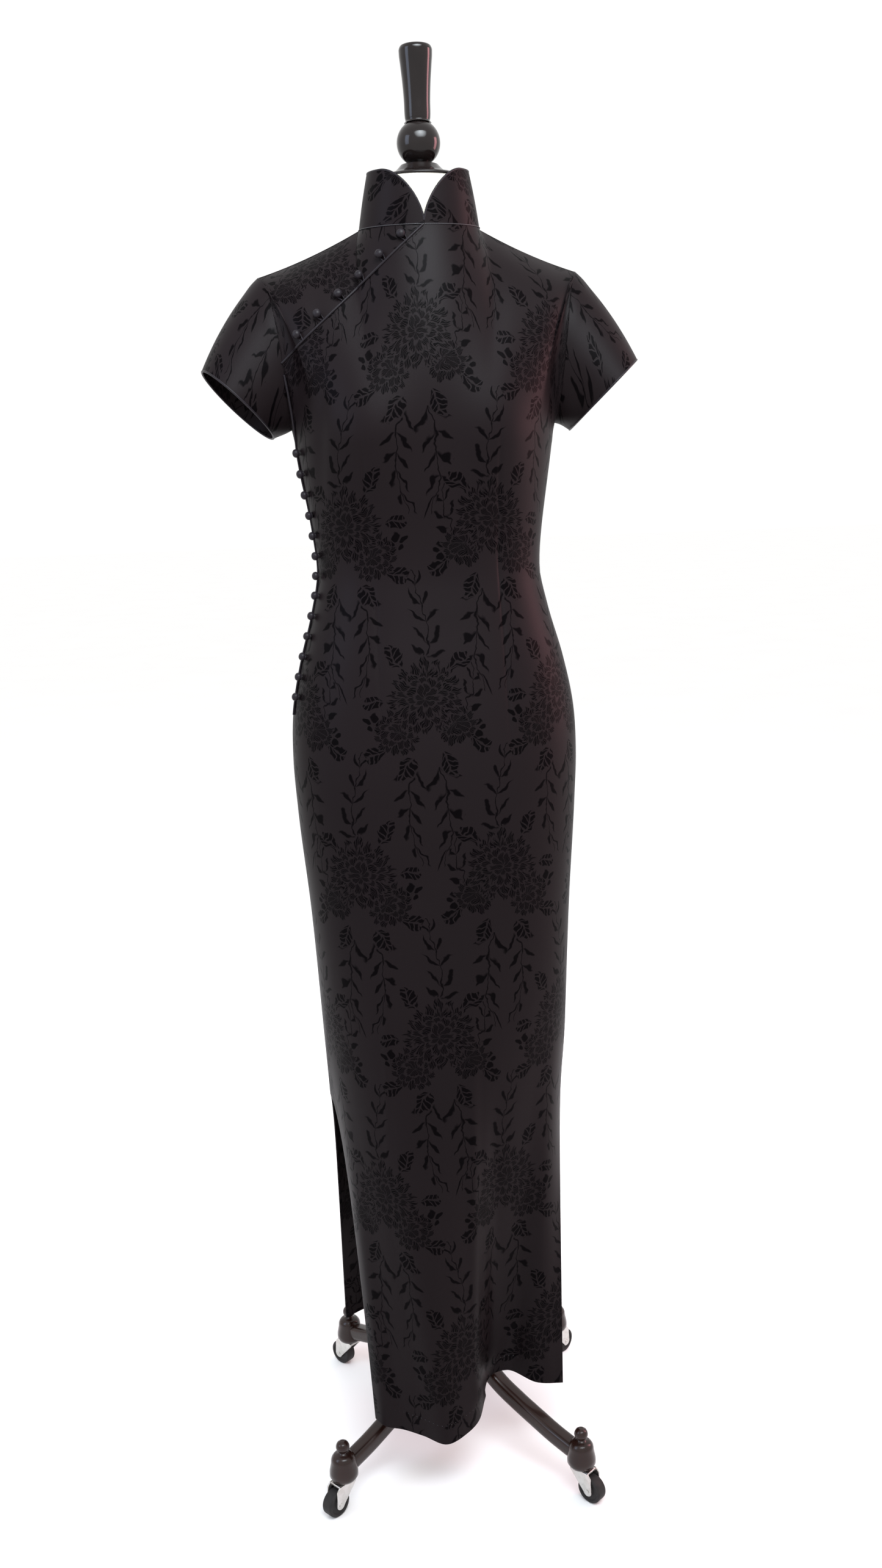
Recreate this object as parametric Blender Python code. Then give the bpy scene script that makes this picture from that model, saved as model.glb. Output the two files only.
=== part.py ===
"""Cheongsam dress on a limbless dress form with a four-legged stand on casters.

Metres, +Z up. The dress faces -Y, the wearer's right side is at -X, and the floor is z = 0.
The origin is on the floor under the middle of the form.
"""

from math import cos, pi, radians, sin, sqrt

import bmesh
import bpy
import numpy as np
from mathutils import Matrix, Vector
from mathutils.bvhtree import BVHTree

# Cloth
WALL = 0.0016
COLLAR_WALL = 0.0020
SEAM = 0.0003
NUDGE = 0.0001
ROUNDNESS = 2.25
FRONT = -1
BACK = 1

# Heights of the body part
HEM_Z = 0.100
SLIT_Z = 0.500
FOLD_Z = 0.720
CHEST_Z = 1.310
APEX_X = 0.080
APEX_Z = 1.322
APEX_RISE = 0.013
APEX_SPREAD = (0.046, 0.060)

# Body of the dress, level by level, as worn on a general figure
FIGURE_COLUMNS = ("height", "half_width", "front", "back")
FIGURE = (
    (0.100, 0.149, 0.132, 0.140),
    (0.300, 0.149, 0.128, 0.136),
    (0.450, 0.150, 0.125, 0.132),
    (0.600, 0.156, 0.121, 0.128),
    (0.750, 0.163, 0.119, 0.126),
    (0.880, 0.1725, 0.119, 0.128),
    (0.940, 0.1750, 0.118, 0.128),
    (1.000, 0.1720, 0.114, 0.123),
    (1.060, 0.1600, 0.107, 0.112),
    (1.120, 0.1430, 0.099, 0.101),
    (1.170, 0.1334, 0.095, 0.094),
    (1.210, 0.1365, 0.098, 0.095),
    (1.250, 0.1420, 0.107, 0.100),
    (1.280, 0.1475, 0.114, 0.103),
    (1.310, 0.1515, 0.119, 0.106),
)

# Hem seen from above: share of the half panel from its centre, place and height
HEM_COLUMNS = ("share", "x", "y", "z")
HEM_FRONT = (
    (-1.00, -0.117, -0.113, 0.103),
    (-0.88, -0.106, -0.127, 0.101),
    (-0.72, -0.082, -0.137, 0.100),
    (-0.56, -0.059, -0.150, 0.098),
    (-0.36, -0.031, -0.167, 0.095),
    (-0.17, -0.003, -0.152, 0.097),
    (-0.02, 0.014, -0.134, 0.100),
    (0.16, 0.026, -0.104, 0.108),
    (0.32, 0.037, -0.079, 0.118),
    (0.52, 0.061, -0.067, 0.122),
    (0.76, 0.095, -0.089, 0.116),
    (1.00, 0.131, -0.087, 0.110),
)
HEM_BACK = (
    (-1.00, -0.145, 0.125, 0.100),
    (-0.72, -0.112, 0.140, 0.104),
    (-0.45, -0.078, 0.129, 0.106),
    (-0.20, -0.040, 0.150, 0.100),
    (0.05, 0.000, 0.170, 0.096),
    (0.30, 0.040, 0.160, 0.098),
    (0.55, 0.078, 0.138, 0.104),
    (0.80, 0.112, 0.140, 0.104),
    (1.00, 0.140, 0.118, 0.104),
)

# Collar ring at the neck
NECK_BASE_Z = 1.547
NECK_BACK_RISE = 0.007
COLLAR_HEIGHT = 0.058
COLLAR_BASE = (0.0685, 0.0610)
COLLAR_TOP = (0.0575, 0.0520)
NECK_BASE_Y = -0.028
NECK_TOP_Y = -0.034
COLLAR_OPEN = radians(52.0)
COLLAR_OPEN_POWER = 0.58
COLLAR_END = radians(1.6)

# Upper edge of the panels, as shares of the half panel from its centre
NECK_SHARE = 0.26
TIP_SHARE = 0.60
NECK_SIDE_TURN = radians(95.0)
SHOULDER_TIP = (0.186, 0.004, 1.5055)
SHOULDER_SAG = 0.0035
UNDERARM = (0.155, 0.0, 1.335)
ARMHOLE_INSET = 0.006
ARMHOLE_DEPTH = {FRONT: 0.051, BACK: 0.056}

# Direction in which the cloth arrives at its upper edge
ARRIVAL_COLUMNS = ("share", "across", "inward", "up", "pull")
ARRIVAL = (
    (0.00, 0.00, 0.30, 0.95, 0.85),
    (0.13, -0.05, 0.38, 0.90, 0.85),
    (0.26, -0.25, 0.72, 0.60, 0.85),
    (0.43, 0.00, 0.93, 0.35, 1.00),
    (0.60, 0.25, 0.90, 0.35, 1.20),
    (0.70, 0.45, 0.50, 0.72, 1.00),
    (0.80, 0.45, 0.10, 0.88, 0.85),
    (1.00, 0.08, 0.00, 1.00, 0.85),
)
LEAVE_ACROSS = 0.3

# Slanted closure from the middle of the neckline to the right armhole
CLOSURE_SLOPE = 0.86
YOKE_GAP = 0.0006
YOKE_NECK_SHARE = 0.012
YOKE_ARM_SHARE = 0.810

# Sleeves
SLEEVE_OUTER = (0.2555, 0.000, 1.4030)
SLEEVE_INNER = (0.1760, 0.000, 1.3270)
SLEEVE_HALF_DEPTH = 0.058
SLEEVE_TILT = 0.009
SLEEVE_GAP = 0.0008
SLEEVE_CROWN = 0.006
SLEEVE_ROWS = 6

# Corded edges and covered buttons
CORD_RADIUS = 0.0013
CORD_LIFT = 0.0003
CORD_SEAT = 0.0008
BUTTON_RADIUS = 0.0050
BUTTON_HEIGHT = 0.0082
BUTTON_LIFT = 0.0007
BUTTON_REACH = 0.010
CLOSURE_BUTTONS = 6
CLOSURE_FIRST = 0.019
CLOSURE_STEP = 0.0322
CLOSURE_ABOVE = 0.009
SIDE_BUTTONS = 13
SIDE_TOP_Z = 1.308
SIDE_LOW_Z = 1.023
SIDE_SHARE = -0.866
SIDE_CORD_SHARE = -0.93
SIDE_CORD_END_Z = 1.000

# Grid of the panels: how many columns each stretch of the half panel gets, and the levels
COLUMN_COUNTS = ((0.0, NECK_SHARE, 4), (NECK_SHARE, TIP_SHARE, 4), (TIP_SHARE, 1.0, 6))
LOWER_LEVELS = (HEM_Z, 0.160, 0.225, 0.295, 0.365, 0.435, SLIT_Z, 0.595, 0.700, 0.800, 0.880,
                0.950, 1.005, 1.055, 1.105, 1.150, 1.195, 1.235, 1.272, CHEST_Z)
UPPER_ROWS = 8
YOKE_ROWS = 4

# Dress form
FORM_GAP = 0.0018
FORM_ARM_GAP = 0.0030
FORM_BOTTOM = 0.760
FORM_FOOT_ROWS = ((0.95, 0.013), (0.84, 0.021))
FORM_NECK_GAP = 0.0030
FORM_NECK_TOP_Z = 1.6005
CAP_CENTRE = (0.002, -0.0345)
CAP_PROFILE = ((0.0470, 0.0000), (0.0480, 0.0015), (0.0470, 0.0032), (0.0380, 0.0052),
               (0.0300, 0.0085), (0.0250, 0.0128), (0.0215, 0.0165))
BALL_RADIUS = 0.0245
BALL_Z = 1.6405
HANDLE_PROFILE = ((0.0143, 1.6625), (0.0148, 1.6850), (0.0160, 1.7050), (0.0176, 1.7220),
                  (0.0186, 1.7330), (0.0183, 1.7385), (0.0168, 1.7410))
POLE_RADIUS = 0.0125

# Stand
LEG_ANGLES = {"back_left": 41.0, "back_right": 131.0, "front_right": 221.0, "front_left": 311.0}
POST_REACH = 0.213
HUB_PROFILE = ((0.0190, 0.1130), (0.0255, 0.1165), (0.0280, 0.1220), (0.0280, 0.1540),
               (0.0255, 0.1600), (0.0190, 0.1650))
HUB_RADIUS = 0.0280
LEG_PATH = ((0.018, 0.1390), (0.050, 0.1170), (0.080, 0.0985), (0.110, 0.0865),
            (0.140, 0.0765), (0.170, 0.0670), (0.204, 0.0590))
LEG_WIDTH = 0.021
LEG_HEIGHT = 0.020
LEG_CHAMFER = 0.004
POST_RADIUS = 0.0158
POST_PROFILE = ((0.0118, 0.0418), (0.0158, 0.0440), (0.0158, 0.0660), (0.0150, 0.0715),
                (0.0118, 0.0760), (0.0066, 0.0785), (0.0052, 0.0800), (0.0082, 0.0842),
                (0.0086, 0.0880), (0.0068, 0.0922), (0.0030, 0.0948))

# Casters
WHEEL_SIDES = 20
WHEEL_RADIUS = 0.0172
WHEEL_WIDTH = 0.0150
WHEEL_EDGE = 0.0015
CASTER_TRAIL = 0.0160
FORK_TOP_Z = 0.0415
FORK_PLATE = 0.0032
FORK_CHEEK = 0.0018
FORK_CLEARANCE = 0.0007
AXLE_RADIUS = 0.0026
AXLE_SIDES = 12


def clear_scene():
    for item in list(bpy.data.objects):
        bpy.data.objects.remove(item, do_unlink=True)


def make_material(name, colour, roughness, metallic=0.0):
    material = bpy.data.materials.new(name)
    material.use_nodes = True
    shader = material.node_tree.nodes["Principled BSDF"]
    shader.inputs["Base Color"].default_value = (*colour, 1.0)
    shader.inputs["Roughness"].default_value = roughness
    shader.inputs["Metallic"].default_value = metallic
    return material


# Curves and tables

def hermite(start, end, leave, arrive, t):
    """Cubic from start to end with the two given end tangents."""
    return (start * (2 * t**3 - 3 * t**2 + 1) + leave * (t**3 - 2 * t**2 + t)
            + end * (3 * t**2 - 2 * t**3) + arrive * (t**3 - t**2))


def read_table(table, columns, name, at):
    """Smooth curve through one named column of a table, read at the given places."""
    places = np.array([row[0] for row in table])
    values = np.array([row[columns.index(name)] for row in table])
    slopes = np.gradient(values, places)
    at = np.clip(at, places[0], places[-1])
    low = np.clip(np.searchsorted(places, at, side="right") - 1, 0, len(places) - 2)
    step = places[low + 1] - places[low]
    t = (at - places[low]) / step
    return hermite(values[low], values[low + 1], slopes[low] * step, slopes[low + 1] * step, t)


def unit(vectors):
    return vectors / np.linalg.norm(vectors, axis=-1, keepdims=True)


# Surface of the dress

def figure_point(share, z, face):
    """Body of the dress without its hem folds. share runs from -1 to 1 across a panel."""
    half = read_table(FIGURE, FIGURE_COLUMNS, "half_width", z)
    deep = read_table(FIGURE, FIGURE_COLUMNS, "front" if face == FRONT else "back", z)
    across = np.sin(share * pi / 2)
    bulge = np.clip(1 - np.abs(across)**ROUNDNESS, 0, 1)**(1 / ROUNDNESS)
    return np.stack([half * across, face * (deep * bulge + SEAM / 2), z + 0 * share], axis=-1)


def hem_point(share, face):
    table = HEM_FRONT if face == FRONT else HEM_BACK
    return np.stack([read_table(table, HEM_COLUMNS, name, share) for name in "xyz"], axis=-1)


def fold_weight(share, z):
    """How far the cloth has moved from the figure to the folds of the hem."""
    edge = np.abs(share)**4
    start = FOLD_Z + (SLIT_Z - FOLD_Z) * edge
    way = np.clip((start - z) / (start - HEM_Z), 0, 1)
    return way**(1.25 - 0.65 * edge)


def lower_point(share, z, face):
    weight = fold_weight(share, z)[..., None]
    at_hem = hem_point(share, face)
    at_hem[..., 2] += z - HEM_Z
    return figure_point(share, z, face) * (1 - weight) + at_hem * weight


def collar_ring(turn, level):
    """Point on the collar: turn 0 is the front, level 0 its base and 1 its full height."""
    half_width = COLLAR_BASE[0] + (COLLAR_TOP[0] - COLLAR_BASE[0]) * level
    half_depth = COLLAR_BASE[1] + (COLLAR_TOP[1] - COLLAR_BASE[1]) * level
    middle = NECK_BASE_Y + (NECK_TOP_Y - NECK_BASE_Y) * level
    base = NECK_BASE_Z + NECK_BACK_RISE * (1 - np.cos(turn)) / 2
    return np.stack([half_width * np.sin(turn), middle - half_depth * np.cos(turn),
                     base + COLLAR_HEIGHT * level], axis=-1)


def shoulder_line(way):
    start = collar_ring(np.array(NECK_SIDE_TURN), 0.0)
    line = start * (1 - way[..., None]) + np.array(SHOULDER_TIP) * way[..., None]
    line[..., 2] -= 4 * SHOULDER_SAG * way * (1 - way)
    return line


def armhole_line(way, face):
    """Armhole edge from the shoulder tip, 0, to the underarm, 1."""
    tip = np.array(SHOULDER_TIP)
    low = np.array(UNDERARM)
    swing = np.sin(pi * way)
    x = tip[0] + (low[0] - tip[0]) * way - ARMHOLE_INSET * swing
    y = tip[1] + (low[1] - tip[1]) * way + face * ARMHOLE_DEPTH[face] * swing
    z = (tip[2] + low[2]) / 2 + (tip[2] - low[2]) / 2 * np.cos(pi * way)
    return np.stack([x, y, z], axis=-1)


def armhole_normal(way, face):
    """Outward direction of the cloth along the armhole of the +X side."""
    up = np.clip(1 - 1.5 * way, 0, 1)
    return unit(np.stack([way**1.5, face * np.sin(pi * way), up], axis=-1))


def upper_edge(share, face):
    """Neckline, shoulder seam and armhole edge, on the side that the share's sign gives."""
    reach = np.abs(share)
    turn = np.clip(reach / NECK_SHARE, 0, 1)
    if face == FRONT:
        turn = turn * NECK_SIDE_TURN
    else:
        turn = pi - turn * (pi - NECK_SIDE_TURN)
    along = np.clip((reach - NECK_SHARE) / (TIP_SHARE - NECK_SHARE), 0, 1)
    down = np.clip((reach - TIP_SHARE) / (1 - TIP_SHARE), 0, 1)
    edge = np.where((reach <= NECK_SHARE)[..., None], collar_ring(turn, 0.0),
                    np.where((reach <= TIP_SHARE)[..., None], shoulder_line(along),
                             armhole_line(down, face)))
    edge[..., 0] *= np.sign(share)
    edge[..., 1] += face * SEAM / 2
    return edge


def upper_point(share, way, face):
    """Cloth between the chest level, way 0, and the panel's upper edge, way 1."""
    step = 0.002
    level = np.full_like(share, CHEST_Z)
    start = figure_point(share, level, face)
    leave = start - figure_point(share, level - step, face)
    leave = unit(leave * (LEAVE_ACROSS, 1.0, 1.0))
    end = upper_edge(share, face)
    reach = np.abs(share)
    arrive = np.stack([read_table(ARRIVAL, ARRIVAL_COLUMNS, "across", reach) * np.sign(share),
                       -face * read_table(ARRIVAL, ARRIVAL_COLUMNS, "inward", reach),
                       read_table(ARRIVAL, ARRIVAL_COLUMNS, "up", reach)], axis=-1)
    length = np.linalg.norm(end - start, axis=-1)[..., None]
    pull = read_table(ARRIVAL, ARRIVAL_COLUMNS, "pull", reach)[..., None]
    return hermite(start, end, leave * length, unit(arrive) * length * pull, way[..., None])


def dress_point(share, level, face):
    """Outer face of the dress. level is 0 at the hem, 1 at the chest and 2 at the upper edge."""
    share, level = np.broadcast_arrays(np.asarray(share, float), np.asarray(level, float))
    z = HEM_Z + np.clip(level, 0, 1) * (CHEST_Z - HEM_Z)
    way = np.clip(level - 1, 0, 1)
    point = np.where((level <= 1)[..., None], lower_point(share, z, face),
                     upper_point(share, way, face))
    if face == FRONT:
        across = (np.abs(point[..., 0]) - APEX_X) / APEX_SPREAD[0]
        along = (point[..., 2] - APEX_Z) / APEX_SPREAD[1]
        point[..., 1] -= APEX_RISE * np.exp(-across**2 - along**2) * (1 - share**4)
    return point


def dress_normal(share, level, face):
    step = 1e-4
    low = np.maximum(share - step, -1)
    high = np.minimum(share + step, 1)
    across = dress_point(high, level, face) - dress_point(low, level, face)
    under = np.maximum(level - step, 0)
    over = np.minimum(level + step, 2)
    up = dress_point(share, over, face) - dress_point(share, under, face)
    normal = -face * np.cross(across, up)
    at_side = (np.abs(share) > 0.9999) & (level >= level_of(SLIT_Z) - step)
    at_top = (level > 2 - step) & (np.abs(share) > NECK_SHARE - step)
    normal[..., 1] = np.where(at_side | at_top, 0, normal[..., 1])
    down = np.clip((np.abs(share) - TIP_SHARE) / (1 - TIP_SHARE), 0, 1)
    at_armhole = (level > 2 - step) & (np.abs(share) >= TIP_SHARE - step)
    along_arm = armhole_normal(down, face)
    along_arm[..., 0] *= np.sign(share)
    return unit(np.where(at_armhole[..., None], along_arm, normal))


def level_of(z):
    return (z - HEM_Z) / (CHEST_Z - HEM_Z)


def half_shares():
    shares = [0.0]
    for start, end, count in COLUMN_COUNTS:
        shares += [start + (end - start) * (k + 1) / count for k in range(count)]
    return shares


def panel_shares():
    half = half_shares()
    return np.array([-share for share in reversed(half[1:])] + half)


def closure_height(x):
    return NECK_BASE_Z - CLOSURE_SLOPE * np.abs(x)


def closure_way(share):
    """Where the slanted closure crosses a column: a share of the upper part, or 1 above it."""
    if share >= 0 or share < -YOKE_ARM_SHARE - 0.02:
        return 1.0
    ways = np.linspace(0, 1, 801)
    points = dress_point(np.full_like(ways, share), 1 + ways, FRONT)
    over = points[:, 2] - closure_height(points[:, 0])
    crossed = np.nonzero(over >= 0)[0]
    if len(crossed) == 0 or crossed[0] == 0:
        return 1.0
    after = crossed[0]
    part = -over[after - 1] / (over[after] - over[after - 1])
    return ways[after - 1] + part * (ways[after] - ways[after - 1])


# Meshes

def add_object(name, mesh, material, smooth=True):
    if smooth:
        mesh.shade_smooth()
        mesh.set_sharp_from_angle(angle=radians(40))
    mesh.materials.append(material)
    item = bpy.data.objects.new(name, mesh)
    bpy.context.collection.objects.link(item)
    return item


def solid_from(name, points, faces, material, smooth=True):
    """Closed mesh with its faces turned outward."""
    shell = bmesh.new()
    corners = [shell.verts.new(point) for point in points]
    for face in faces:
        shell.faces.new([corners[k] for k in face])
    bmesh.ops.recalc_face_normals(shell, faces=shell.faces)
    if shell.calc_volume(signed=True) < 0:
        bmesh.ops.reverse_faces(shell, faces=shell.faces)
    mesh = bpy.data.meshes.new(name)
    shell.to_mesh(mesh)
    shell.free()
    return add_object(name, mesh, material, smooth)


def wall_solid(name, outer, inner, material, ring=False):
    """Cloth wall between two equal grids of points. A ring closes on itself across its columns."""
    columns, rows = outer.shape[:2]
    points = np.concatenate([outer.reshape(-1, 3), inner.reshape(-1, 3)])
    half = columns * rows
    last = columns if ring else columns - 1
    faces = []
    for i in range(last):
        after = (i + 1) % columns
        for j in range(rows - 1):
            square = (i * rows + j, after * rows + j, after * rows + j + 1, i * rows + j + 1)
            faces.append(square)
            faces.append(tuple(half + k for k in reversed(square)))
        for j in (0, rows - 1):
            faces.append((i * rows + j, after * rows + j, half + after * rows + j, half + i * rows + j))
    if not ring:
        for i in (0, columns - 1):
            for j in range(rows - 1):
                here = i * rows + j
                faces.append((here, here + 1, half + here + 1, half + here))
    return solid_from(name, points.tolist(), faces, material)


def lathe(name, profile, centre, material, sides=16, axis="Z"):
    """Turned solid from (radius, place along the axis) pairs, closed with flat ends."""
    points = []
    for radius, along in profile:
        for k in range(sides):
            angle = 2 * pi * (k + 0.5) / sides
            points.append((radius * cos(angle), radius * sin(angle), along))
    if axis == "Y":
        points = [(x, z, -y) for x, y, z in points]
    faces = [tuple(range(sides)), tuple(reversed(range(len(points) - sides, len(points))))]
    for ring in range(len(profile) - 1):
        for k in range(sides):
            after = (k + 1) % sides
            low = ring * sides
            faces.append((low + k, low + after, low + sides + after, low + sides + k))
    item = solid_from(name, points, faces, material)
    item.location = centre
    return item


def cord_solid(name, path, outward, material, ring=False, sides=4):
    """Corded edge along a path. outward is the cloth's direction at each point."""
    path = np.asarray(path)
    outward = unit(np.asarray(outward))
    if ring:
        ahead = np.roll(path, -1, axis=0) - np.roll(path, 1, axis=0)
    else:
        ahead = np.gradient(path, axis=0)
    beside = unit(np.cross(ahead, outward))
    outward = unit(np.cross(beside, ahead))
    count = len(path)
    points = []
    for k in range(count):
        for side in range(sides):
            angle = 2 * pi * side / sides
            points.append(path[k] + CORD_RADIUS * (cos(angle) * outward[k] + sin(angle) * beside[k]))
    faces = []
    for k in range(count if ring else count - 1):
        here = k * sides
        after = (k + 1) % count * sides
        for side in range(sides):
            turn = (side + 1) % sides
            faces.append((here + side, here + turn, after + turn, after + side))
    if not ring:
        faces.append(tuple(range(sides)))
        faces.append(tuple(reversed(range(len(points) - sides, len(points)))))
    return solid_from(name, [tuple(point) for point in points], faces, material)


def cut(target, name, cutter):
    """Leave a guide object that is cut out of the target."""
    cutter.hide_render = True
    cutter.display_type = "WIRE"
    modifier = target.modifiers.new(name, "BOOLEAN")
    modifier.operation = "DIFFERENCE"
    modifier.object = cutter


# Dress

def panel(name, face, material):
    """Front or back in one piece. The front stops at the slanted closure on its -X side."""
    shares = panel_shares()
    if face == FRONT:
        ends = [-YOKE_ARM_SHARE, -YOKE_NECK_SHARE]
        shares = np.array(sorted(set(shares) | set(ends)))
    lower = [level_of(z) for z in LOWER_LEVELS]
    levels = []
    for share in shares:
        top = closure_way(share) if face == FRONT else 1.0
        levels.append(lower + [1 + top * (k + 1) / UPPER_ROWS for k in range(UPPER_ROWS)])
    levels = np.array(levels)
    grid = np.repeat(shares[:, None], levels.shape[1], axis=1)
    outer = dress_point(grid, levels, face)
    inner = outer - WALL * dress_normal(grid, levels, face)
    return wall_solid(name, outer, inner, material)


def yoke_shares():
    inside = [share for share in panel_shares() if -YOKE_ARM_SHARE < share < -YOKE_NECK_SHARE]
    return np.array([-YOKE_ARM_SHARE] + inside + [-YOKE_NECK_SHARE])


def yoke(material):
    shares = yoke_shares()
    levels = []
    for share in shares:
        crossing = closure_way(share)
        step = 1e-3
        near = dress_point(np.full(2, share), 1 + np.array([crossing - step, crossing]), FRONT)
        start = crossing + YOKE_GAP * step / np.linalg.norm(near[1] - near[0])
        levels.append([1 + start + (1 - start) * k / YOKE_ROWS for k in range(YOKE_ROWS + 1)])
    levels = np.array(levels)
    grid = np.repeat(shares[:, None], levels.shape[1], axis=1)
    outer = dress_point(grid, levels, FRONT)
    inner = outer - WALL * dress_normal(grid, levels, FRONT)
    return wall_solid("front_yoke", outer, inner, material)


def armhole_ways():
    return np.array([(share - TIP_SHARE) / (1 - TIP_SHARE) for share in half_shares()
                     if share >= TIP_SHARE - NUDGE])


def sleeve_grid(side):
    """Outer and inner points of a sleeve, from the shoulder round by the front."""
    ways = armhole_ways()
    front = armhole_line(ways, FRONT)
    back = armhole_line(ways, BACK)[-2:0:-1]
    start = np.concatenate([front, back])
    outward = np.concatenate([armhole_normal(ways, FRONT), armhole_normal(ways, BACK)[-2:0:-1]])
    ahead = np.roll(start, -1, axis=0) - np.roll(start, 1, axis=0)
    start = start + SLEEVE_GAP * unit(np.cross(outward, ahead))
    outer_end = np.array(SLEEVE_OUTER)
    inner_end = np.array(SLEEVE_INNER)
    middle = (outer_end + inner_end) / 2
    turns = np.concatenate([pi * ways, (2 * pi - pi * ways)[-2:0:-1]])
    half_depth = np.array([0.0, -SLEEVE_HALF_DEPTH, SLEEVE_TILT])
    end = (middle + np.cos(turns)[:, None] * (outer_end - middle)
           + np.sin(turns)[:, None] * half_depth)
    along = np.linspace(0, 1, SLEEVE_ROWS + 1)[None, :, None]
    outer = start[:, None] * (1 - along) + end[:, None] * along
    crown = np.clip(np.cos(turns), 0, 1)[:, None] * np.array([0.7, 0.0, 0.7])
    outer = outer + SLEEVE_CROWN * 4 * along * (1 - along) * crown[:, None]
    around = np.roll(outer, -1, axis=0) - np.roll(outer, 1, axis=0)
    normal = unit(np.cross(around, np.gradient(outer, axis=1)))
    normal[:, 0] = outward
    inner = outer - WALL * normal
    for grid in (outer, inner):
        grid[..., 0] *= side
    return outer, inner


def collar_turns():
    half = [COLLAR_END + (COLLAR_OPEN - COLLAR_END) * (k / 6)**1.35 for k in range(7)]
    rest = [COLLAR_OPEN + (pi - COLLAR_OPEN) * (k + 1) / 7 for k in range(7)]
    right = half + rest
    return np.array(right + [2 * pi - turn for turn in reversed(right[:-1])])


def collar_share(turns):
    """Share of the full height that the collar has above each place of its base."""
    from_front = np.minimum(turns, 2 * pi - turns) / COLLAR_OPEN
    return (1 - (1 - np.clip(from_front, 0, 1))**2)**COLLAR_OPEN_POWER


def collar_grid():
    turns = collar_turns()
    levels = collar_share(turns)[:, None] * np.linspace(0, 1, 5)[None, :]
    grid = np.repeat(turns[:, None], levels.shape[1], axis=1)
    outer = collar_ring(grid, levels)
    outer[..., 2] += SEAM
    toward = np.stack([np.sin(grid) * COLLAR_BASE[1], -np.cos(grid) * COLLAR_BASE[0],
                       0 * grid], axis=-1)
    return outer, outer - COLLAR_WALL * unit(toward)


def closure_curve(count):
    """Points and directions along the slanted closure, from the neck to the armhole."""
    shares = -np.linspace(YOKE_NECK_SHARE, YOKE_ARM_SHARE, count)
    levels = np.array([1 + closure_way(share) for share in shares])
    return dress_point(shares, levels, FRONT), dress_normal(shares, levels, FRONT)


def front_facets():
    """Search tree of the flat faces of the front, for seating small pieces on them."""
    points = []
    faces = []
    for name in ("front_panel", "front_yoke"):
        mesh = bpy.data.objects[name].data
        first = len(points)
        points += [vertex.co.copy() for vertex in mesh.vertices]
        faces += [[first + k for k in face.vertices] for face in mesh.polygons]
    return BVHTree.FromPolygons(points, faces)


def place_button(name, facets, near, outward, material):
    """Covered button: a flattened ball with its low pole on the cloth under it."""
    start = Vector(near) + Vector(outward) * BUTTON_REACH
    seat, facing = facets.ray_cast(start, -Vector(outward), 2 * BUTTON_REACH)[:2]
    outward = (facing + Vector(outward)).normalized()
    rows = 4
    profile = []
    for k in range(rows + 1):
        angle = pi * (0.06 + 0.88 * k / rows)
        profile.append((BUTTON_RADIUS * sin(angle), -BUTTON_HEIGHT / 2 * cos(angle)))
    centre = seat + outward * (BUTTON_HEIGHT / 2 + BUTTON_LIFT)
    item = lathe(name, profile, centre, material, sides=8)
    item.rotation_mode = "QUATERNION"
    item.rotation_quaternion = outward.to_track_quat("Z", "Y")
    return item


def closure_buttons(facets, material):
    points, outward = closure_curve(240)
    steps = np.linalg.norm(np.diff(points, axis=0), axis=1)
    run = np.concatenate([[0], np.cumsum(steps)])
    for k in range(CLOSURE_BUTTONS):
        place = CLOSURE_FIRST + CLOSURE_STEP * k
        near = int(np.searchsorted(run, place))
        ahead = points[near + 1] - points[near - 1]
        above = unit(np.cross(ahead, outward[near]))
        above = above * np.sign(above[2])
        wanted = points[near] + CLOSURE_ABOVE * above
        seat, direction = nearest_on_front(wanted)
        place_button(f"button_closure_{k + 1}", facets, seat, direction, material)


def nearest_on_front(wanted):
    """Place on the front's upper part whose height and side are nearest to a point's."""
    shares = np.linspace(-0.90, 0.02, 185)[:, None]
    levels = 1 + np.linspace(0.3, 1.0, 141)[None, :]
    grid = dress_point(shares, levels, FRONT)
    off = (grid[..., 0] - wanted[0])**2 + (grid[..., 2] - wanted[2])**2
    best = np.unravel_index(np.argmin(off), off.shape)
    share = np.array([shares[best[0], 0]])
    level = np.array([levels[0, best[1]]])
    return dress_point(share, level, FRONT)[0], dress_normal(share, level, FRONT)[0]


def side_buttons(facets, material):
    heights = np.linspace(SIDE_TOP_Z, SIDE_LOW_Z, SIDE_BUTTONS)
    for k, z in enumerate(heights):
        level = np.array([level_of(z)])
        share = np.array([SIDE_SHARE])
        seat = dress_point(share, level, FRONT)[0]
        direction = dress_normal(share, level, FRONT)[0]
        place_button(f"button_side_{k + 1}", facets, seat, direction, material)


def side_cord(material):
    heights = np.linspace(CHEST_Z, SIDE_CORD_END_Z, 9)
    share = np.full_like(heights, SIDE_CORD_SHARE)
    levels = np.array([level_of(z) for z in heights])
    points = dress_point(share, levels, FRONT)
    outward = dress_normal(share, levels, FRONT)
    path = points + outward * (CORD_RADIUS + CORD_SEAT)
    cord_solid("side_piping", path, outward, material)


def closure_cord(material):
    shares = yoke_shares()[::-1]
    levels = np.array([1 + closure_way(share) for share in shares])
    points = dress_point(shares, levels, FRONT)
    outward = dress_normal(shares, levels, FRONT)
    path = points + outward * (CORD_RADIUS + CORD_SEAT)
    cord_solid("closure_piping", path, outward, material)


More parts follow.
